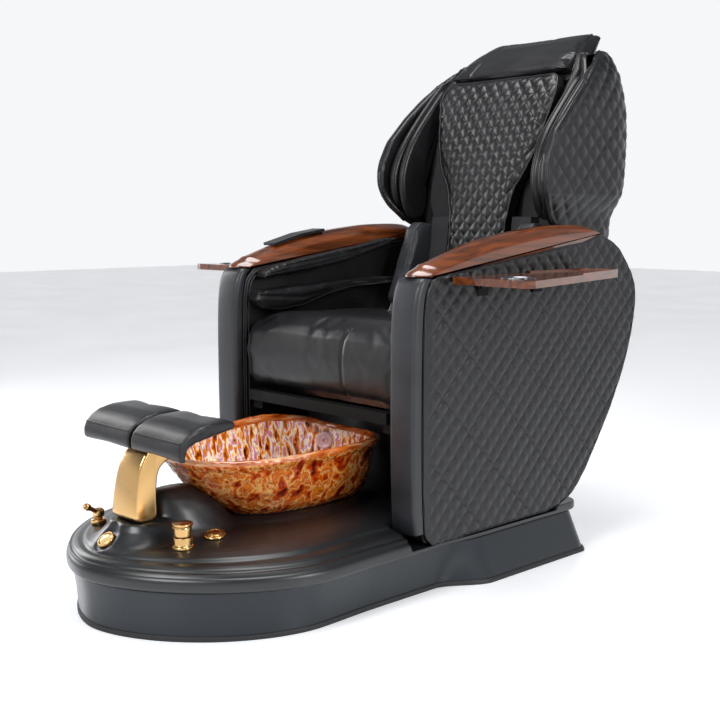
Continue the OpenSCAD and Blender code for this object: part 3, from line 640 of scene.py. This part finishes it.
def mound(x, y, levels, n=2.2):
    """Height of the mound of stacked ovals (height, centre y, half width, half length) at x, y."""
    table = np.array(levels, float)
    heights = np.arange(table[0, 0], table[-1, 0], 0.5)
    height = np.full(len(x), table[0, 0] - 20)
    for z in heights:
        cy, a, b = (np.interp(z, table[:, 0], table[:, k]) for k in (1, 2, 3))
        inside = np.abs(x / a) ** n + np.abs((y - cy) / b) ** n <= 1
        height[inside] = z
    return height


def bowl_wall(h):
    """Half width, centre and half length of the bowl at the height h above its underside."""
    k = h / RIM_H
    at = (0, 0.13, 0.45, 0.8, 1)
    a = BOWL_W * np.interp(k, at, (0.62, 0.74, 0.87, 0.955, 1))
    front = BOWL_Y - BOWL_L * np.interp(k, at, (0.50, 0.60, 0.80, 0.945, 1))
    rear = BOWL_Y + BOWL_L * np.interp(k, at, (0.89, 0.92, 0.95, 0.97, 1))
    return a, (front + rear) / 2, (rear - front) / 2


def bowl_height(x, y):
    """Height of the outside of the bowl above x, y, and very high outside it."""
    height = np.full(len(x), 900.0)
    for h in np.arange(118, -1, -1.0):
        a, cy, b = bowl_wall(h)
        inside = np.abs(x / (a + 2)) ** 2.5 + np.abs((y - cy) / (b + 2)) ** 2.5 <= 1
        height[inside] = BOWL_Z + h
    return height


def merged(a, b, k=10.0):
    """The higher of two heights, with a fillet where they meet."""
    h = np.maximum(k - np.abs(a - b), 0) / k
    return np.maximum(a, b) + h * h * k / 4


def button_places():
    air = Matrix.Translation((118, -362, 176)) @ Matrix.Rotation(math.radians(11), 4, (0.686, 0.727, 0))
    nose = Matrix.Translation((0, -553, 178)) @ Matrix.Rotation(math.radians(38), 4, "X")
    return air, nose


def flattened(points, place, radius):
    """The surface brought to the flat seat of a button, with a soft edge."""
    normal, centre = place.to_3x3() @ Vector((0, 0, 1)), place.translation
    away = points[:, :2] - np.array(centre.xy)
    seat = centre.z - (away @ np.array(normal.xy)) / normal.z
    share = 1 - smooth((np.linalg.norm(away, axis=1) - radius) / 8)
    return points[:, 2] * (1 - share) + seat * share


def make_deck():
    profile = evenly(rounded(np.array(DECK_STEPS), 7, 4, closed=False), 2.4)
    rings = [base_outline(z, w, l, wr, yr, 1.7) for z, w, l, wr, yr in profile]
    top, centre = rings[-1], np.array([0, -60, 0])
    rings += [centre * [1, 1, 0] + (top - centre) * [1 - t, 1 - t, 1] for t in np.linspace(0, 0.995, 150)[1:]]
    points, faces = loft(rings, caps=False)
    x, y, z = points.T
    upper = z > 138
    shaped = merged(z, mound(x, y, BOSS))
    shaped = merged(shaped, mound(x, y, RIDGE))
    shaped = merged(shaped, mound(x, y, PLATFORM, 2.4))
    z = np.where(upper, shaped, z)
    z = np.minimum(z, bowl_height(x, y) - 1.6)
    under_arm = smooth((np.abs(x) - 276) / 3) * smooth((y + 7) / 3)
    z = np.where(z > 118.4, z - (z - np.where(y > 514, 129.4, 118.4)).clip(0) * under_arm, z)
    points = np.column_stack([x, y, z])
    for place, radius in zip(button_places(), (25, 21)):
        points[:, 2] = flattened(points, place, radius)
    add("deck_moulding", (points, faces), "deck")


RIM_RISE = [(-283, 0), (-165, 10), (-47, 23), (-4, 26), (33, 23), (94, 16), (119, 10), (139, 0),
            (160, -7), (176, -10)]
RIM_DIP = [(90, 0), (150, -7), (176, -10)]


def dimples(u, v, size):
    """Hammered surface: 0 in the middle of each irregular dimple, 1 at its edge."""
    u, v = u / size, v / size
    nearest = np.full(len(u), 9.0)
    for i in (-1, 0, 1):
        for j in (-1, 0, 1):
            a, b = np.floor(u) + i, np.floor(v) + j
            jitter = np.sin(a * 127.1 + b * 311.7) * 43758.5453
            other = np.sin(a * 269.5 + b * 183.3) * 43758.5453
            away = np.hypot(a + jitter - np.floor(jitter) - u, b + other - np.floor(other) - v)
            nearest = np.minimum(nearest, away)
    return nearest


def make_bowl():
    steps = 360
    turn = np.linspace(0, 2 * math.pi, steps, endpoint=False)
    outside = [(h, 0, 0) for h in np.linspace(0, 110, 34)]
    rim = [(118, 1, 0.3), (124, 5, 0.55), (129, 9, 0.8), (135, 11, 1), (141, 10, 1), (146, 5, 1),
           (147.5, 0, 1), (146, -6, 1), (140, -9, 1), (130, -9.5, 0.9), (118, -GLASS, 0.4)]
    inside = [(h, -GLASS, 0) for h in np.linspace(110, 12, 34)]
    path = evenly(np.array(outside + rim + inside) * [1, 1, 20], RING_GAP) / [1, 1, 20]
    rings = []
    for h, grow, rise in path:
        a, cy, b = bowl_wall(h)
        x = (a + grow) * np.sign(np.cos(turn)) * np.abs(np.cos(turn)) ** 0.8
        y = cy + (b + grow) * np.sign(np.sin(turn)) * np.abs(np.sin(turn)) ** 0.8
        lift = np.where(x < 0, along_line(RIM_RISE, y), along_line(RIM_DIP, y))
        rings.append(np.column_stack([x, y, BOWL_Z + h + rise * lift]))
    stack = np.array(rings)
    for _ in range(6):
        stack[1:-1] = (stack[:-2] + 2 * stack[1:-1] + stack[2:]) / 4
    floor_ring = stack[-1]
    middle = np.array([0, BOWL_Y + 40, floor_ring[0, 2]])
    floors = [middle + (floor_ring - middle) * (1 - t) for t in np.linspace(0, 0.9, 26)[1:]]
    drain = np.column_stack([20 * np.cos(turn), -95 + 20 * np.sin(turn), np.full(steps, floor_ring[0, 2])])
    rings = list(stack) + [f * (1 - s) + drain * s for f, s in zip(floors, np.linspace(0, 1, 25) ** 3)]
    points, faces = loft(rings, caps=False)
    run = np.tile(np.cumsum(np.full(steps, GIRTH / steps)), len(rings))
    rise = np.repeat(np.arange(len(rings)) * RING_GAP, steps)
    obj = add("bowl_glass", (points, faces), "bowl")
    press(obj, lambda p, n: 2.0 * (dimples(run, rise, 16) - 0.5))
    obj.data.materials.append(MATERIALS["bowl_inside"])
    obj.data.materials.append(MATERIALS["glass_rim"])
    heights, half_way = path[:, 0], np.argmax(path[:, 0])
    for face in obj.data.polygons:
        ring = min(face.index // steps, len(path) - 1)
        if heights[ring] > RIM_FROM:
            face.material_index = 2
        elif ring > half_way:
            face.material_index = 1


def make_post():
    profile = [(-513, 213), (-511, 250), (-505, 290), (-496, 325), (-482, 351), (-466, 369), (-448, 380),
               (-425, 386), (-402, 387), (-399, 352), (-412, 341), (-432, 333), (-448, 318), (-454, 288),
               (-456, 250), (-456, 213)]
    line = evenly(rounded(profile, 30, 6), 3, closed=True)
    half = along_line([(200, 48), (260, 45), (387, 38)], line[:, 1])
    front = smooth((-line[:, 0] - 440) / 40)
    rings = []
    for u in np.concatenate([[-1, -0.985, -0.95, -0.9], np.linspace(-0.8, 0.8, 17), [0.9, 0.95, 0.985, 1]]):
        edge = 5 * (1 - math.sqrt(max(0, 1 - max(0, (abs(u) - 0.87) / 0.13) ** 2)))
        flat = inset(line, edge)
        flat[:, 0] -= 3.5 * (1 - u * u) * front
        rings.append(np.column_stack([half * u, flat]))
    add("footrest_post_casting", loft(rings), "footrest_post")


# ---------------------------------------------------------------- fittings
def make_fittings():
    upright = Matrix.Translation((137, -456, DECK_TOP))
    add("faucet_base_turned", placed(lathe([(0, 0), (24, 0), (24, 5), (20.5, 8), (20, 23.6), (0, 23.6)]),
                                     upright), "faucet_base")
    knob = lathe([(0, 24.6), (18, 24.6), (19, 27), (19, 43), (17.5, 46), (21.5, 48), (22, 53), (0, 54.6)])
    lever = tube([(-12, 0, 36), (-18, 0, 36.4), (-27, 0, 36.4)], 4.6, sides=20)
    ball = placed(lathe([(0, -6.5), (4.5, -5), (6.5, 0), (4.5, 5), (0, 6.5)], 3),
                  Matrix.Translation((-28, 0, 36.4)))
    add("faucet_handle_turned", placed(join(knob, lever, ball), upright), "faucet_handle")
    rest = Matrix.Translation((-150, -484, DECK_TOP - 4))
    add("sprayer_cup", placed(lathe([(9.4, 4), (9.4, 13), (10.5, 14.5), (15, 14.5), (17, 12), (17, 0)], 1.4),
                              rest), "sprayer_holder")
    body = lathe([(0, 5), (8.8, 5), (8.8, 19), (12.6, 21), (13, 33), (9, 37.5), (0, 38.5)], 2)
    lean = Matrix.Rotation(math.radians(25), 4, "Z") @ Matrix.Rotation(math.radians(62), 4, "X")
    grip = placed(lathe([(0, 4), (5.2, 6), (5.6, 38), (8, 43), (8, 52), (6.4, 54), (0, 53)], 2),
                  Matrix.Translation((0, 0, 28)) @ lean)
    add("hand_sprayer_turned", placed(join(body, grip), rest), "hand_sprayer")
    air, nose = button_places()
    rings = join(placed(lathe([(18.4, 0.2), (18.4, 5), (19.4, 6), (22, 6), (24, 4), (24, 0.2)]), air),
                 placed(lathe([(15.4, 0.2), (15.4, 6), (16.2, 7), (18.4, 7), (20, 5), (20, 0.2)]), nose))
    add("button_bezels_turned", rings, "button_bezels")
    crown = [(0, -14), (6, -14), (6, 0), (17.8, 0), (17.8, 6.6), (16, 7.8), (14.4, 7.8), (13.8, 7.1),
             (13, 7.1), (12.4, 7.8), (0, 8)]
    add("air_button_turned", placed(lathe(crown, 0.5), air), "air_button")
    lens = [(0, -14), (6, -14), (6, 0), (14.8, 0), (14.8, 5.5), (11, 7.6), (0, 8.4)]
    add("nose_lens", placed(lathe(lens, 3), nose), "nose_button")
    for side in (1, -1):
        name = "left_cup_ring" if side > 0 else "right_cup_ring"
        ring = [(36, 704), (39, 704), (39, 720.2), (40.4, 720.4), (40.4, 721.2), (38.6, 722), (37, 721.6),
                (36, 720)]
        add(name + "_turned", placed(lathe(ring), Matrix.Translation((502 * side, 168, 0))), name)
    jet = (Matrix.Translation((-87, 137, 284)) @ Matrix.Rotation(math.radians(37.5), 4, "Z")
           @ Matrix.Rotation(math.radians(80), 4, "X"))
    cap = [(3.8, 10.2), (3.8, 16.6), (6, 17.6), (8, 16.2), (12, 15.8), (17, 17), (21, 16.2), (22, 14.2),
           (21, 12.8), (13, 12.4), (13, 10.2)]
    add("jet_cap_moulded", placed(lathe(cap, 1.0), jet), "jet_cap")
    strainer = [(19, 130), (23.4, 130), (23.4, BOWL_Z + 12), (33, BOWL_Z + 12.1), (32, BOWL_Z + 14),
                (27, BOWL_Z + 15), (20, BOWL_Z + 14.6), (19, BOWL_Z + 13)]
    add("drain_strainer_turned", placed(lathe(strainer), Matrix.Translation((0, -95, 0))), "drain_strainer")


# ---------------------------------------------------------------- arms
ARM_IN, ARM_OUT = (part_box("left_arm_top")[k].x / MM for k in (0, 1))
ARM_FRONT = [(8, 150), (2, 250), (0, 400), (0, 560), (3, 650), (12, 695), (28, 718)]
ARM_REST = [(300, 750), (537, 780), (600, 786), (640, 797), (670, 806), (694, 800), (730, 786), (762, 768),
            (794, 738), (820, 704), (836, 676), (842, 650), (841, 610), (832, 560), (812, 496), (780, 424),
            (737, 350), (687, 276), (640, 212), (604, 172), (574, 148), (535, 132), (480, 124), (85, 119)]
BAND = 26
BAG_SEAMS = [[(62, 700), (250, 722), (400, 749), (540, 786)],
             [(36, 646), (60, 616), (120, 610), (190, 617), (280, 643), (380, 663), (550, 671)]]


def arm_line(back):
    """Outline of an arm's side panel, back mm behind the front of the band."""
    return [(y + back, z) for y, z in ARM_FRONT[:-1]] + [(66, 719.5)] + ARM_REST + [(8 + back + 10, 119)]


def make_arms():
    def quilting(points, normals):
        x, y, z = points.T
        outward = smooth((normals[:, 0] - 0.4) / 0.4)
        from_top = np.interp(y, [p[0] for p in ARM_REST[:8]], [p[1] for p in ARM_REST[:8]]) - z
        edge = smooth((from_top - 2) / 14) * smooth((y - 42) / 16)
        return outward * edge * (diamonds(y, z, 45, 5.2) + 2.4) + ripple(points, 60, 0.5)

    left = padded_panel("left_arm_panel", 4, 3, quilting)
    padded_twin(left, "right_arm_panel")
    edge = [(ARM_OUT - 1, y, z) for y, z in rounded(arm_line(BAND + 3), 20)]
    welt = piping(left, "left_arm_panel_piping", edge, 2.0, closed=True)
    mirror_image(welt)

    lining = add("left_arm_lining_leather", prism(arm_line(BAND + 0.5), ARM_IN + 0.3, ARM_IN + 9, 3, 14),
                 "arm_linings")
    mirror_image(lining, "arm_linings")
    for k, back in enumerate((BAND + 8, BAND + 17)):
        flat = inset(rounded(arm_line(BAND + 0.5), 26), 8 + 9 * k)
        line = [(ARM_IN - 0.2, y, z) for y, z in evenly(flat, 6, True)]
        cord = add(f"left_lining_{k}_piping", tube(line, 2.2, True, 8), body="base", slot="black_leather")
        mirror_image(cord)

    edge = inset(rounded(arm_line(BAND + 1), 20), 1.5)
    wrap = add("left_arm_edge_leather", prism(edge, ARM_IN + 8, ARM_OUT - 12, 0.5, 1), body="base",
               slot="black_leather")
    mirror_image(wrap)

    front = rounded(ARM_FRONT, 60, 5, closed=False)
    outline = np.vstack([front, front[::-1] + [BAND - 0.5, 0]])
    rings = []
    across = np.linspace(-0.75, 0.75, 11)
    for u in np.concatenate([[-1, -0.985, -0.95, -0.88], across, [0.88, 0.95, 0.985, 1]]):
        edge = 7 * (1 - math.sqrt(max(0, 1 - max(0, (abs(u) - 0.8) / 0.2) ** 2)))
        flat = inset(outline, edge * 0.6)
        flat[:len(front), 0] += edge - 2.5 * (1 - u * u)
        x = (ARM_IN + ARM_OUT) / 2 + u * ((ARM_OUT - ARM_IN) / 2 - 0.3)
        rings.append(np.column_stack([np.full(len(flat), x), flat]))
    band = add("left_arm_band_leather", loft(rings), "left_arm_band")
    padded_twin(band, "right_arm_band")
    for k, x in enumerate((ARM_OUT - 9, ARM_IN + 9)):
        seam = [(x, y, z) for y, z in rounded(ARM_FRONT[:-1], 40, closed=False)]
        mirror_image(stitching(band, f"left_band_{k}_thread", seam))

    def slack(points, normals):
        x, y, z = points.T
        fold = groove(z - along_line([(60, 716), (250, 738), (400, 760), (540, 788)], y), 3, 4)
        leaf = groove(z - along_line([(40, 650), (190, 640), (380, 668)], y), 2.2, 5)
        return fold * (normals[:, 0] < -0.3) + leaf * (normals[:, 0] < -0.3) + ripple(points, 34, 0.8)

    bags = cushion("left_arm_bags", 5, 3, 2.5, 5, slack)
    padded_twin(bags, "right_arm_bags")
    inner = ARM_IN - 46
    for k, line in enumerate(BAG_SEAMS):
        seam = [(inner, y, z) for y, z in rounded(line, 40, closed=False)]
        mirror_image(piping(bags, f"left_bag_{k}_piping", seam, 1.8))


TOP_CROWN = [(19, 722.5), (24, 730), (60, 744), (130, 769), (244, 798), (360, 816), (486, 829), (600, 831),
             (640, 829), (676, 811)]
TOP_FOOT = [(46, 721.6), (300, 750.6), (537, 780.6), (600, 786.6), (640, 797.6), (676, 808)]
TOP_FALL, TOP_SET_BACK = 0.62, 34


def make_woodwork():
    y = np.concatenate([np.linspace(19, 60, 14), np.linspace(70, 640, 58), np.linspace(644, 676, 9)])
    crown, foot = along_line(TOP_CROWN, y), along_line(TOP_FOOT, y)
    for _ in range(14):
        crown[1:-1] = (crown[:-2] + 2 * crown[1:-1] + crown[2:]) / 4
    rings = []
    for u in np.concatenate([[-1, -0.99, -0.96], np.linspace(-0.9, 0.9, 19), [0.96, 0.99, 1]]):
        soft = 3 * (1 - math.sqrt(max(0, 1 - max(0, (abs(u) - 0.94) / 0.06) ** 2)))
        high = foot + (crown - foot) * (1 - TOP_FALL * max(0, abs(u) - 0.25) ** 1.4) - soft
        ahead = y + TOP_SET_BACK * abs(u) ** 2 * (676 - y) / 657
        low = along_line(TOP_FOOT, ahead) + soft * 0.3
        line = np.vstack([np.column_stack([ahead, high]), np.column_stack([ahead, low])[::-1]])
        x = (ARM_IN + ARM_OUT) / 2 + u * ((ARM_OUT - ARM_IN) / 2 - 0.2)
        rings.append(np.column_stack([np.full(len(line), x), line]))
    left = add("left_arm_top_wood", loft(rings), "left_arm_top", crisp=60)
    mirror_image(left, "right_arm_top")
    for name in ("left", "right"):
        bevelled(name + "_tray", 2.2)
    bevelled("control_panel", 2.5)
    bevelled("fascia_panel", 2)
    bevelled("rear_panel", 2)


# ---------------------------------------------------------------- seat, footrest and back
PAD_LINE = [(585, 574), (787, 608), (917, 622), (990, 633), (1100, 660), (1188, 689), (1228, 716)]
PAD_HALF = [(588, 105), (800, 105), (860, 112), (920, 126), (975, 158), (1020, 176), (1080, 192), (1140, 204),
            (1190, 206), (1216, 196), (1227, 178)]


HEAD_EDGE = [(200, 745, 1206), (202, 758, 1232), (192, 800, 1288), (172, 850, 1322), (156, 905, 1346)]
HEAD_FLAP = [(690, 1122), (712, 1180), (745, 1226), (786, 1280), (848, 1322), (905, 1346), (920, 1336),
             (880, 1300), (830, 1262), (790, 1214), (752, 1160), (716, 1118)]
# inner side and outline of the two rolls of a wing pad
WINGS = [(225, [(735, 1222), (690, 1172), (640, 1118), (598, 1066), (566, 1006), (552, 950), (562, 896),
                (590, 842), (640, 842), (660, 900), (650, 980), (690, 1070), (740, 1150), (770, 1200)]),
         (251, [(772, 1252), (720, 1204), (664, 1146), (612, 1086), (570, 1028), (545, 972), (548, 916),
                (570, 872), (620, 872), (640, 940), (640, 1000), (680, 1090), (740, 1170), (790, 1226)])]


def pad_y(z):
    return along_line(PAD_LINE, z)


def make_seat():
    def sewing(points, normals):
        x, y, z = points.T
        front = smooth((-normals[:, 1] - 0.2) / 0.4) * (y < 60)
        side = smooth((np.abs(normals[:, 0]) - 0.3) / 0.4)
        up = smooth((normals[:, 2] - 0.3) / 0.4)
        seam = groove(x - 92, 3.2, 4) * front
        curve = groove(z - along_line([(10, 430), (60, 486), (180, 548), (420, 566)], y), 3, 4.5) * side
        cross = groove(y - 96 - 14 * np.cos(x / 140), 2.6, 4.5) * up * (np.abs(x) < 262)
        pleats = -2.4 * np.abs(np.sin(np.pi * x / 26)) ** 3 * np.exp(-((y - 452) / 30) ** 2) * up
        hollow = -5 * up * np.exp(-(x / 190) ** 4) * smooth((y - 110) / 120)
        return seam + curve + cross + pleats + hollow + ripple(points, 75, 1.2)

    seat = cushion("seat_cushion", 9, 5, 7, 14, sewing)
    rim = [(16, 440), (18, 500), (40, 580), (120, 598), (300, 596), (500, 584)]
    for side in (1, -1):
        line = [(side * 262, y, z) for y, z in rim]
        piping(seat, f"seat_{'left' if side > 0 else 'right'}_piping", rounded(line, 40, closed=False), 2.4)


def make_foot_pads():
    def sewing(points, normals):
        x, y, z = points.T
        return groove(y + 500, 1.8, 4) * (normals[:, 2] > 0.2) + ripple(points, 50, 0.7)

    left = cushion("left_foot_pad", 4.5, 6, 3, 6, sewing)
    padded_twin(left, "right_foot_pad")
    front = [(x, -492, 405) for x in np.linspace(6, 186, 20)]
    mirror_image(piping(left, "left_foot_pad_piping", front, 1.8))


def lean_in(points):
    """Brings the top of a headrest flap in with the headrest, which narrows towards the top."""
    return points - np.outer(np.maximum(points[:, 2] - 1236, 0) * 0.44, [1, 0, 0])


def make_back():
    def quilting(points, normals):
        x, y, z = points.T
        half = along_line(PAD_HALF, z)
        border = smooth((half - np.abs(x) - 6) / 12) * smooth((z - 600) / 14) * smooth((1218 - z) / 12)
        front = smooth((-normals[:, 1] - 0.35) / 0.3)
        return front * border * (diamonds(x, z * 0.88, 39, 5) + 2.6) + ripple(points, 55, 0.5)

    pad = cushion("back_pad", 5, 4, 3, 8, quilting)
    half = np.array(PAD_HALF)
    right = [(w - 4, pad_y(z) + 1, z) for z, w in half]
    line = right + [(-x, y, z) for x, y, z in right[::-1]]
    piping(pad, "back_pad_piping", rounded(line, 16), 3.2, closed=True, lift=1.6)

    def seams(points, normals):
        x, y, z = points.T
        return groove(x + 128, 2.4, 4) * (normals[:, 1] < 0.3) + ripple(points, 60, 1.0)

    head = cushion("headrest", 5.5, 5, 4, 8, seams)
    for side in (1, -1):
        name = "left" if side > 0 else "right"
        line = [(side * x, y, z) for x, y, z in HEAD_EDGE]
        piping(head, f"headrest_{name}_piping", rounded(line, 30, closed=False), 2.2)

    flaps = [prism(line, x, x + 23, 11, 34) for x, line in WINGS]
    wings = add("left_wing_pads_leather", join(*flaps), "left_wing_pads")
    press(wings, lambda p, n: ripple(p, 60, 0.8))
    padded_twin(wings, "right_wing_pads")
    for k, (x, line) in enumerate(WINGS):
        edge = [(x + 2, y - 2, z) for y, z in rounded(line[:8], 60, closed=False)]
        mirror_image(piping(wings, f"left_wing_{k}_piping", edge, 2.0))
    ear = add("left_headrest_flap", prism(HEAD_FLAP, 205, 225, 9, 30), body="back", slot="black_leather")
    press(ear, lambda p, n: ripple(p, 50, 0.8))
    set_points(ear, lean_in(points_of(ear)))
    padded_twin(ear, None)
    for k, x in enumerate((212, 219)):
        edge = lean_in(np.array([(x, y - 2, z + 1) for y, z in rounded(HEAD_FLAP[:6], 60, closed=False)]))
        mirror_image(piping(ear, f"left_headrest_flap_{k}_piping", edge, 1.6))
    loins = cushion("lumbar_bags", 5.5, 4, 3, 7, lambda p, n: ripple(p, 50, 1.0))
    for side in (1, -1):
        name = "left" if side > 0 else "right"
        line = [(side * 181, y, z) for y, z in ((488, 620), (520, 728), (560, 818), (592, 838))]
        piping(loins, f"lumbar_{name}_piping", rounded(line, 30, closed=False), 2.0)


# height, half width, front edge, rear face and corner radius of the shell
SHELL = [(470, 258, 700, 822, 70), (600, 264, 674, 876, 90), (740, 264, 668, 912, 100),
         (838, 265, 598, 930, 108), (882, 284, 552, 934, 110), (935, 300, 528, 940, 110),
         (1005, 300, 533, 946, 110), (1065, 300, 566, 948, 110), (1182, 290, 690, 940, 108),
         (1290, 232, 836, 908, 54)]


def make_shell():
    table = np.array(SHELL, float)

    def quilting(points, normals):
        x, y, z = points.T
        w, front, rear, r = (np.interp(z, table[:, 0], table[:, k]) for k in (1, 2, 3, 4))
        turn = np.arctan2(np.maximum(y - rear + r, 0), np.maximum(np.abs(x) - w + r, 1e-3))
        run = np.minimum(y, rear - r) + r * turn + np.maximum(w - r - np.abs(x), 0)
        out_x = np.sign(x) * normals[:, 0]
        round_corner = (normals[:, 1] * (y - rear + r) + out_x * np.maximum(np.abs(x) - w + r, 0)) / r
        outward = np.where(y < rear - r, out_x, round_corner)
        edge = smooth((y - front - 8) / 14) * smooth((1284 - z) / 14)
        quilts = diamonds(run, z, 52, 5.5) + 2.5
        return smooth((outward - 0.3) / 0.3) * edge * quilts + ripple(points, 70, 0.5)

    levels = [(z, *(np.interp(z, table[:, 0], table[:, k]) for k in (1, 3)))
              for z in np.linspace(600, 1278, 40)]
    rings = []
    for z, w, rear in levels:
        front = min(pad_y(z) + 52 + max(0, z - 1228) * 0.6, rear - 40)
        tuck = 22 * (1 - smooth((z - 800) / 70))    # clear of the arm bags when the seat slides
        x = np.linspace(1, -1, 41) * (w - 19 - tuck)
        face = np.column_stack([x, front - 14 * (np.abs(x) / w) ** 4, np.full(41, z)])
        rings.append(np.vstack([face, (face + [0, 8, 0])[::-1]]))
    lining = add("back_lining_leather", loft(rings), body="back", slot="black_leather")
    press(lining, lambda p, n: ripple(p, 60, 1.2))
    z, w, rear = levels[-1]
    cover = [(-w + 17, front - 10), (w - 17, front - 10), (w - 17, rear - 60), (w - 60, rear - 17),
             (-w + 60, rear - 17), (-w + 17, rear - 60)]
    add("back_top_cover", prism(cover, z - 4, z + 4, 2, 20, "z"), body="back", slot="black_leather")
    shell = padded_panel("back_shell", 5, 4, quilting)
    for side in (1, -1):
        name = "left" if side > 0 else "right"
        line = [(side * (w - 3), front, z) for z, w, front, rear, r in SHELL[3:]]
        piping(shell, f"shell_{name}_piping", rounded(line, 20, closed=False), 2.4)


# ---------------------------------------------------------------- the rest
def finish_cad_nodes():
    """A procedural finish for every CAD node that stays."""
    for name, obj in NODES.items():
        obj.data.materials.clear()
        obj.data.materials.append(MATERIALS[SLOT[name]])


# height of the direction looked in, colour of the studio there
SKY = [(0.2, (0.97, 0.98, 1.0)), (0.5, (0.2, 0.21, 0.23))]


def make_stage():
    floor = bpy.data.objects.new("studio_floor", bpy.data.meshes.new("studio_floor"))
    size = 14.0
    corners = [(-size, -size, 0), (size, -size, 0), (size, size, 0), (-size, size, 0)]
    floor.data.from_pydata(corners, [], [(0, 1, 2, 3)])
    floor.data.materials.append(plain("floor", (238, 240, 244), 0.32, 0.01, 2, ((900, 0.001),),
                                      Emission_Color=(1, 1, 1, 1), Emission_Strength=0.3))
    bpy.context.scene.collection.objects.link(floor)
    floor.location.z = -0.0005
    world = bpy.data.worlds.new("studio")
    world.use_nodes = True
    nodes, links = world.node_tree.nodes, world.node_tree.links
    split = nodes.new("ShaderNodeSeparateXYZ")
    links.new(nodes.new("ShaderNodeTexCoord").outputs["Generated"], split.inputs["Vector"])
    sky = nodes.new("ShaderNodeValToRGB")
    links.new(split.outputs["Z"], sky.inputs["Fac"])
    for element, (height, colour) in zip(sky.color_ramp.elements, SKY):
        element.position = height
        element.color = (*colour, 1)
    links.new(sky.outputs["Color"], nodes["Background"].inputs["Color"])
    nodes["Background"].inputs["Strength"].default_value = 0.95
    bpy.context.scene.world = world


def softbox(name, place, target, size, power):
    light = bpy.data.lights.new(name, "AREA")
    light.shape = "RECTANGLE"
    light.size, light.size_y = size
    light.energy = power
    obj = bpy.data.objects.new(name, light)
    bpy.context.scene.collection.objects.link(obj)
    obj.location = place
    obj.rotation_euler = (Vector(target) - Vector(place)).to_track_quat("-Z", "Y").to_euler()


def make_lights():
    softbox("key", (0.6, -3.0, 2.8), (0, 0, 0.6), (1.4, 1.4), 90)
    softbox("near", (3.4, 0.4, 2.0), (0, 0.1, 0.6), (0.8, 2.0), 75)
    softbox("top", (0, 0.1, 3.4), (0, 0.1, 0), (2.2, 1.4), 75)
    softbox("far", (-3.0, -0.6, 1.6), (0, 0, 0.7), (0.8, 2.0), 35)


def make_camera():
    """The camera stands where the picture was taken from, in front of the sitter's left arm."""
    camera = bpy.data.cameras.new("camera")
    camera.lens = 56.15
    camera.sensor_width = 36
    obj = bpy.data.objects.new("camera", camera)
    bpy.context.scene.collection.objects.link(obj)
    obj.location = (2.0264, -1.7357, 0.855)
    obj.rotation_euler = (math.radians(82.64), 0, math.radians(46.66))
    bpy.context.scene.camera = obj


finish_cad_nodes()
make_skirt()
make_deck()
make_bowl()
make_post()
make_fittings()
make_arms()
make_woodwork()
make_seat()
make_foot_pads()
make_back()
make_shell()
make_stage()
make_lights()
make_camera()
bpy.context.scene.view_settings.view_transform = "Standard"
